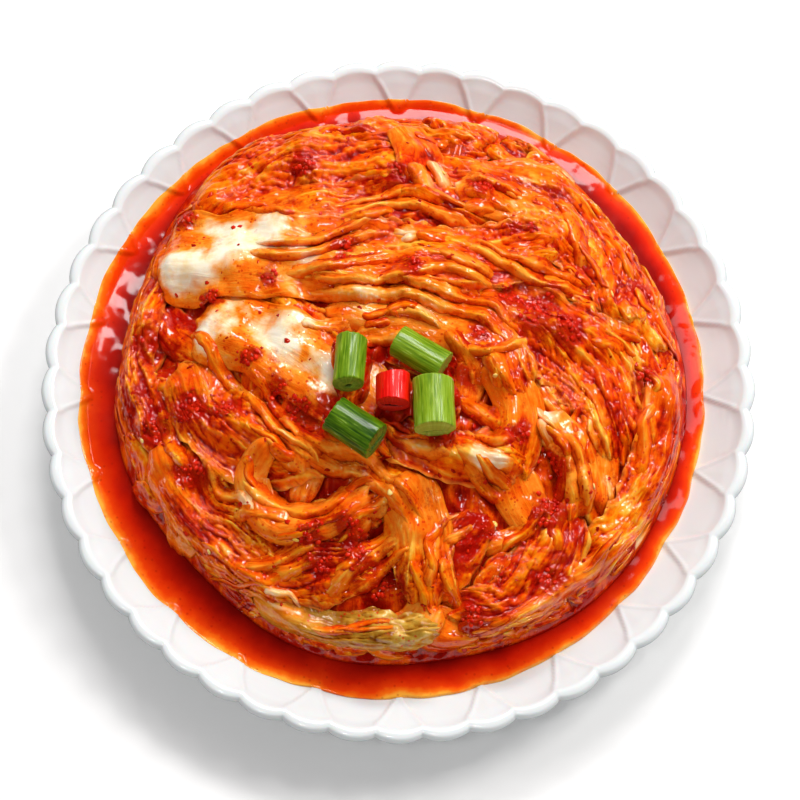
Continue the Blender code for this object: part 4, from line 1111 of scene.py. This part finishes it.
def nest_parts(bed):
    """Leaf with chili paste, darkened further as painted shade, packed up to the undersides of the garnish."""
    parts = []
    for number, (node, tube) in enumerate(TUBES.items()):
        low, high = (np.array(corner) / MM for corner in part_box(node))
        turn = math.radians(tube["turn"])
        reach = (tube["length"] / 2 + 3.0) * np.array((math.cos(turn), math.sin(turn)))
        middle = (low + high)[:2] / 2
        wide = tube["radius"] + 1.2
        parts.append(draped_leaf(bed, 8000 + 25 * number, [middle - reach, middle + 0.5, middle + reach],
                                 (wide, wide, wide), (4.0, 4.0), 2.4, 2.4, 0.0, 0.0, 0.35, 0.25, sink=0.15,
                                 lean=0.2))
    return parts


def fibre_parts(bed, samples, rng, count):
    """Thin torn strands that follow the run of the leaves."""
    parts = []
    stems = np.concatenate([path_points(LEAVES[node]["path"], np.linspace(0, 0.4, 6))[0]
                            for node in ("leaf_white_lower", "leaf_white_upper")])
    while len(parts) < count:
        angle, share = rng.uniform(0, 2 * math.pi), math.sqrt(rng.uniform(0.02, 0.92))
        reach = float(outline(np.array(angle))) * share
        place = np.array((reach * math.cos(angle), reach * math.sin(angle)))
        heading = flow(samples, place) + math.pi * (rng.random() < 0.5)
        path = [place]
        for _ in range(rng.integers(2, 5)):
            turn = flow(samples, place)
            turn += math.pi * round((heading - turn) / math.pi)
            heading = turn + rng.normal(0, 0.28)
            place = place + rng.uniform(4.5, 7.5) * np.array((math.cos(heading), math.sin(heading)))
            path.append(place)
        if min(np.hypot(*(stems - spot).T).min() for spot in path) < 15.0:
            continue
        half = rng.uniform(1.2, 2.6)
        pale = 0.5 * (rng.random() < 0.3)
        parts.append(draped_leaf(bed, 9000 + 25 * len(parts), path, (0.8 * half, half, 0.7 * half), (1.2, 1.0),
                                 1.6, 0.8, pale, 2.0, rng.uniform(0.1, 0.4), rng.uniform(-0.2, 0.3), cell=0.45,
                                 ends=8.0, sink=0.25, soft=0.8, fold=True))
    return parts


class KIMCHI_OT_leaves(bpy.types.Operator):
    """Lay chopped leaf, large leaves and stems, and loose folds over the heap, each over the ones before"""

    bl_idname = "kimchi.leaves"
    bl_label = "Leaves"

    def execute(self, context):
        food = context.scene.kimchi_food
        rng = np.random.default_rng(food.seed)
        cabbage = pickled_cabbage("napa_cabbage")
        slots = {entry["node"]: entry["material_slot"] for entry in frame["record"]["subparts"]}
        bed = Bed()
        green = pickled_cabbage("green_cabbage", greener=True)
        samples = flow_samples()
        pieces = chopped_pieces(bed, samples, rng)
        half = len(pieces) // 2
        leaf_piece("chopped_leaf_outer", pieces[:half], cabbage, "kimchi")
        leaf_piece("chopped_leaf_inner", pieces[half:], cabbage, "kimchi")
        for number, (node, sizes) in enumerate(LEAVES.items()):
            sizes = dict(sizes, ridge=sizes["ridge"] * food.ridges)
            leaf = draped_leaf(bed, 100 + 20 * number, **sizes)
            leaf_piece("kimchi_" + node, [leaf], green if node == "leaf_under" else cabbage, slots[node], node)
        # The nest is shifted darker by 0.22 as painted shade under the garnish.
        stained = pickled_cabbage("stained_cabbage", dark=0.22)
        leaf_piece("garnish_nest", nest_parts(bed), stained, "leaf")
        leaf_piece("cabbage_folds", strand_parts(bed), cabbage, "leaf")
        leaf_piece("torn_strands", fibre_parts(bed, samples, rng, 60), cabbage, "leaf")
        scatter_chili(context, bed, food)
        return {"FINISHED"}


# --- chili flakes, paste and seeds ---------------------------------------------------------------

def scatter(shapes, material, name):
    """Geometry Nodes: lay pieces of a collection on the points, turned to lie on the surface."""
    tree = bpy.data.node_groups.new(name, "GeometryNodeTree")
    face = tree.interface
    face.new_socket("Geometry", in_out="INPUT", socket_type="NodeSocketGeometry")
    face.new_socket("Density", in_out="INPUT", socket_type="NodeSocketFloat")
    face.new_socket("Spacing", in_out="INPUT", socket_type="NodeSocketFloat")
    face.new_socket("Smallest", in_out="INPUT", socket_type="NodeSocketFloat")
    face.new_socket("Largest", in_out="INPUT", socket_type="NodeSocketFloat")
    face.new_socket("Seed", in_out="INPUT", socket_type="NodeSocketInt")
    face.new_socket("Geometry", in_out="OUTPUT", socket_type="NodeSocketGeometry")
    given = add_node(tree, "NodeGroupInput")
    amount = add_node(tree, "GeometryNodeInputNamedAttribute", {"Name": name}, data_type="FLOAT")
    spread = add_node(tree, "GeometryNodeDistributePointsOnFaces",
                      {"Mesh": given.outputs["Geometry"], "Distance Min": given.outputs["Spacing"],
                       "Density Max": given.outputs["Density"], "Density Factor": amount.outputs["Attribute"],
                       "Seed": given.outputs["Seed"]}, distribute_method="POISSON")
    spin = add_node(tree, "FunctionNodeRandomValue", {"Min": (-0.5, -0.5, 0.0), "Max": (0.5, 0.5, 6.283),
                                                      "Seed": given.outputs["Seed"]}, data_type="FLOAT_VECTOR")
    turned = add_node(tree, "FunctionNodeRotateRotation",
                      {"Rotation": spread.outputs["Rotation"], "Rotate By": spin.outputs["Value"]},
                      rotation_space="LOCAL")
    size = add_node(tree, "FunctionNodeRandomValue", {2: given.outputs["Smallest"],
                                                      3: given.outputs["Largest"], "Seed": 5})
    source = add_node(tree, "GeometryNodeCollectionInfo", {"Collection": shapes, "Separate Children": True,
                                                           "Reset Children": True})
    copies = add_node(tree, "GeometryNodeInstanceOnPoints",
                      {"Points": spread.outputs["Points"], "Instance": source.outputs["Instances"],
                       "Pick Instance": True, "Rotation": turned.outputs["Rotation"],
                       "Scale": size.outputs[1]})
    real = add_node(tree, "GeometryNodeRealizeInstances", {"Geometry": copies.outputs["Instances"]})
    dressed = add_node(tree, "GeometryNodeSetMaterial", {"Geometry": real.outputs["Geometry"],
                                                         "Material": material})
    add_node(tree, "NodeGroupOutput", {"Geometry": dressed.outputs["Geometry"]})
    return tree


def small_shapes(name, kinds, rng, size, rough):
    """A hidden collection of small closed lumps, each squashed to its size and made uneven."""
    group = bpy.data.collections.new(name)
    for number in range(kinds):
        mesh = bpy.data.meshes.new(f"{name}_{number}")
        bm = bmesh.new()
        bmesh.ops.create_uvsphere(bm, u_segments=7, v_segments=5, radius=1.0)
        for vert in bm.verts:
            vert.co = Vector([c * s * (1 + rough * rng.normal()) for c, s in zip(vert.co, size)]) * MM
        bm.to_mesh(mesh)
        bm.free()
        mesh.shade_smooth()
        group.objects.link(bpy.data.objects.new(f"{name}_{number}", mesh))
    return group


def scatter_chili(context, bed, food):
    """Chili flakes, grains of paste and seeds, on the top of everything laid so far."""
    rng = np.random.default_rng(food.seed + 1)
    every = 2
    x, y, z = bed.x[::every, ::every], bed.y[::every, ::every], bed.top[::every, ::every]
    points = np.stack([x, y, z - 0.1], -1).reshape(-1, 3) * MM
    base = mesh_object("bed_surface", points, grid_faces(*x.shape), chili_flake("bed", "#9A0800", "#DC2808"))
    inside = smoothstep(1.0, 0.94, np.hypot(x, y) / outline(np.arctan2(y, x))).ravel()
    clear = (bed.limit[::every, ::every] > 60.0).ravel()
    patches = np.clip(0.5 + 0.5 * noise(x / 14, y / 14, 31), 0, 1).ravel()
    paste = bed.paste[::every, ::every].ravel()
    for name, values in (("chili_flakes", inside * clear * (0.05 + 0.35 * patches ** 2 + 1.2 * paste) / 1.6),
                         ("chili_grains", inside * clear * smoothstep(0.45, 0.95, paste + 0.4 * (patches - 0.5))),
                         ("chili_seeds", inside * clear)):
        layer = base.data.attributes.new(name, "FLOAT", "POINT")
        layer.data.foreach_set("value", values.astype(np.float32))
    kinds = (
        ("chili_flakes", (0.95, 0.6, 0.14), 0.20, chili_flake("dried_chili", "#9A0800", "#DC2808"),
         dict(Density=90.0 * food.flakes, Spacing=0.0011, Smallest=0.5, Largest=1.5), "sauce"),
        ("chili_grains", (0.62, 0.5, 0.42), 0.12, chili_flake("chili_paste_grain", "#AC0800", "#E42A08"),
         dict(Density=600000.0, Spacing=0.001, Smallest=0.6, Largest=1.9), "sauce"),
        ("chili_seeds", (1.25, 0.95, 0.35), 0.04, chili_flake("chili_seed", "#F0C24A", "#FFE08A"),
         dict(Density=20.0 * food.seeds, Spacing=0.02, Smallest=0.85, Largest=1.1), "stem"),
    )
    for name, size, rough, material, values, slot in kinds:
        shapes = small_shapes(name + "_shapes", 6, rng, size, rough)
        mesh = run_nodes(base, scatter(shapes, material, name), dict(values, Seed=food.seed))
        piece = bpy.data.objects.new(name, mesh)
        context.scene.collection.objects.link(piece)
        settle(piece, slot)
        for obj in list(shapes.objects):
            bpy.data.objects.remove(obj)
        bpy.data.collections.remove(shapes)
    bpy.data.objects.remove(base)


# --- garnish -------------------------------------------------------------------------------------

def cut_tube(node, tube, seed):
    """One cut tube: skin with fine veins, uneven cut ends, and an opening that is pressed almost flat."""
    low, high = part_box(node)
    centre = (low + high) / 2
    length, radius, wall = tube["length"], tube["radius"], tube["wall"]
    bore_wide, bore_high = ((radius - wall) * share for share in tube["open"])
    columns = 120
    angle = np.linspace(0, 2 * math.pi, columns, endpoint=False)[None, :]
    half = length / 2
    edge = 0.35
    # Each ring: place along the tube, radius of the skin, share of the way in to the opening.
    rings = [(place * half, radius - edge * max(0.0, (abs(place) - 0.96) / 0.04) ** 1.5, 0.0)
             for place in (-1, -0.985, *np.linspace(-0.96, 0.96, 34), 0.985, 1)]
    rings += [(half + 0.15 * share, radius - edge, share) for share in np.linspace(0.12, 0.92, 8)]
    rings += [(place * half, radius - edge, 1.0) for place in np.linspace(0.99, -0.99, 14)]
    rings += [(-half - 0.15 * share, radius - edge, share) for share in np.linspace(0.92, 0.12, 8)]
    along, r, inward = (np.array(values)[:, None] for values in zip(*rings))
    skin = inward == 0.0
    # The inner face of the bore is marked for the dark inside colour: painted shade in the opening.
    hollow = (inward == 1.0) * smoothstep(1.0, 0.85, np.abs(along) / half)
    veins = noise(angle * 9, along / 30, seed) + 0.6 * noise(angle * 22, along / 18, seed + 1)
    dents = noise(np.cos(angle) * 1.6 + along / 7, np.sin(angle) * 1.6, seed + 2)
    r = r * (1 + 0.035 * np.cos(2 * angle + seed)) + skin * (0.10 * veins + 0.16 * dents)
    slope = 0.5 * np.cos(angle - seed) * np.sign(along) * np.abs(along / half) ** 3
    ragged = 0.30 * noise(angle * 4, np.sign(along) * 3.0, seed + 3) * np.abs(along / half) ** 6
    layers = 0.10 * noise(inward * 9, angle, seed + 4) * np.sign(along) * (inward > 0) * (inward < 1)
    along = along + slope + ragged + layers
    aside = np.cos(angle) * (r * (1 - inward) + bore_wide * inward)
    rise = np.sin(angle) * (r * (1 - inward) + bore_high * inward) - 0.25 * radius * inward
    points = np.stack(np.broadcast_arrays(along, aside, rise), -1).reshape(-1, 3) * MM
    # Stay inside the solid's own length.
    points[:, 0] = np.clip(points[:, 0], -half * MM, half * MM)
    pose = (Matrix.Rotation(math.radians(tube["turn"]), 4, "Z")
            @ Matrix.Rotation(math.radians(-tube["tilt"]), 4, "Y"))
    points = points @ np.array(pose.to_3x3()).T + np.array(centre)
    rings_seen = 0.30 * noise(inward * 7, 0.4 * angle, seed + 5)
    tone = np.clip(tube["tone"] + 0.20 * veins * skin + 0.12 * dents + rings_seen * ~skin, 0, 1)
    cut = tube["flesh"] * smoothstep(0.0, 0.2, inward + 0.1 * smoothstep(0.96, 1.0, np.abs(along) / half))
    look = np.stack(np.broadcast_arrays(tone, cut, hollow, 1.0), -1).reshape(-1, 4)
    grain = np.stack(np.broadcast_arrays(angle * radius, along), -1).reshape(-1, 2) * MM
    faces = np.concatenate([grid_faces(len(r), columns, wrap=True),
                            [[j + (len(r) - 1) * columns, (j + 1) % columns + (len(r) - 1) * columns,
                              (j + 1) % columns, j] for j in range(columns)]])
    return points, faces, look, grain


class KIMCHI_OT_garnish(bpy.types.Operator):
    """Lay the cut spring onion and the chili on the crown of the heap"""

    bl_idname = "kimchi.garnish"
    bl_label = "Garnish"

    def execute(self, context):
        materials = {"onion": spring_onion(), "chili": fresh_chili()}
        for number, (node, tube) in enumerate(TUBES.items()):
            kind = node.split("_")[0]
            points, faces, look, grain = cut_tube(node, tube, 60 + 10 * number)
            piece = mesh_object("cut_" + node, points, faces, materials[kind], look, grain)
            face_outward(piece)
            settle(piece, kind, node)
        return {"FINISHED"}


# --- stage ---------------------------------------------------------------------------------------

class KIMCHI_OT_stage(bpy.types.Operator):
    """Add the floor, the lights and the camera"""

    bl_idname = "kimchi.stage"
    bl_label = "Stage"

    def execute(self, context):
        stage = context.scene.kimchi_stage
        scene = context.scene
        size = 3.0
        floor = mesh_object("floor", np.array([(-size, -size, -0.0002), (size, -size, -0.0002),
                                               (size, size, -0.0002), (-size, size, -0.0002)]),
                            [[0, 1, 2, 3]], studio_floor(stage.floor), smooth=False)
        # The wet food mirrors the softboxes alone, as it does with dark flags round the set.
        floor.visible_glossy = False

        world = bpy.data.worlds.new("studio")
        scene.world = world
        world.use_nodes = True
        world.node_tree.nodes["Background"].inputs["Color"].default_value = (1.0, 0.99, 0.99, 1.0)
        world.node_tree.nodes["Background"].inputs["Strength"].default_value = 0.42
        world.cycles_visibility.glossy = False

        def area(name, place, aim, width, depth, power, colour):
            lamp = bpy.data.lights.new(name, "AREA")
            lamp.shape = "RECTANGLE"
            lamp.size, lamp.size_y = width, depth
            lamp.energy = power
            lamp.color = colour
            obj = bpy.data.objects.new(name, lamp)
            obj.location = place
            obj.rotation_euler = (Vector(aim) - Vector(place)).to_track_quat("-Z", "Y").to_euler()
            scene.collection.objects.link(obj)

        area("softbox_back", (0.08, 0.66, 1.25), (0, 0, 0.03), 0.22, 0.16, 1.7, (1.0, 0.97, 0.97))
        area("window_back", (0.15, 1.1, 1.25), (0, 0, 0.03), 0.7, 0.3, 14.0, (1.0, 0.98, 0.97))
        area("key_right", (0.85, 0.5, 1.0), (0, 0, 0.03), 0.38, 0.38, 9.2, (1.0, 0.98, 0.96))
        area("strip_left", (-0.224, 0.467, 1.25), (0, 0, 0.03), 0.03, 0.10, 0.19, (1.0, 0.98, 0.97))
        area("strip_right", (0.196, 0.345, 1.25), (0, 0, 0.03), 0.05, 0.22, 0.14, (1.0, 0.97, 0.97))
        area("front_left", (-0.25, -0.3, 1.3), (0, 0, 0.03), 0.15, 0.15, 1.5, (1.0, 0.98, 0.97))

        scene.view_settings.view_transform = "Standard"
        scene.view_settings.look = "None"
        rim = Vector((0.0, 0.0, PLATE_HIGH[2]))
        back = Vector((0.0, -math.cos(stage.elevation), math.sin(stage.elevation)))
        cam = bpy.data.cameras.new("camera")
        cam.lens = 120.2
        cam.sensor_width = 36.0
        cam.clip_start = 0.05
        camera = bpy.data.objects.new("camera", cam)
        camera.location = rim + back * stage.distance
        aim = rim + Vector((0.0005, -0.0042, 0.0))
        camera.rotation_euler = (aim - camera.location).to_track_quat("-Z", "Y").to_euler()
        scene.collection.objects.link(camera)
        scene.camera = camera
        return {"FINISHED"}


# --- panel and registration ----------------------------------------------------------------------

OPERATORS = (KIMCHI_OT_stage, KIMCHI_OT_plate, KIMCHI_OT_sauce, KIMCHI_OT_core, KIMCHI_OT_leaves,
             KIMCHI_OT_garnish)


class KIMCHI_PT_panel(bpy.types.Panel):
    """Lists the pieces in the sidebar"""

    bl_idname = "KIMCHI_PT_panel"
    bl_label = "Kimchi plate"
    bl_space_type = "VIEW_3D"
    bl_region_type = "UI"
    bl_category = "Kimchi"

    def draw(self, context):
        for settings in (context.scene.kimchi_plate, context.scene.kimchi_food, context.scene.kimchi_stage):
            box = self.layout.box()
            for name in settings.__annotations__:
                box.prop(settings, name)
        for operator in OPERATORS:
            self.layout.operator(operator.bl_idname)


CLASSES = (PlateSettings, FoodSettings, StageSettings, *OPERATORS, KIMCHI_PT_panel)


def register():
    for cls in CLASSES:
        bpy.utils.register_class(cls)
    bpy.types.Scene.kimchi_plate = PointerProperty(type=PlateSettings)
    bpy.types.Scene.kimchi_food = PointerProperty(type=FoodSettings)
    bpy.types.Scene.kimchi_stage = PointerProperty(type=StageSettings)


def unregister():
    del bpy.types.Scene.kimchi_stage
    del bpy.types.Scene.kimchi_food
    del bpy.types.Scene.kimchi_plate
    for cls in reversed(CLASSES):
        bpy.utils.unregister_class(cls)


def main():
    register()
    bpy.ops.kimchi.stage()
    bpy.ops.kimchi.plate()
    bpy.ops.kimchi.sauce()
    bpy.ops.kimchi.core()
    bpy.ops.kimchi.leaves()
    bpy.ops.kimchi.garnish()


if __name__ == "__main__":
    main()
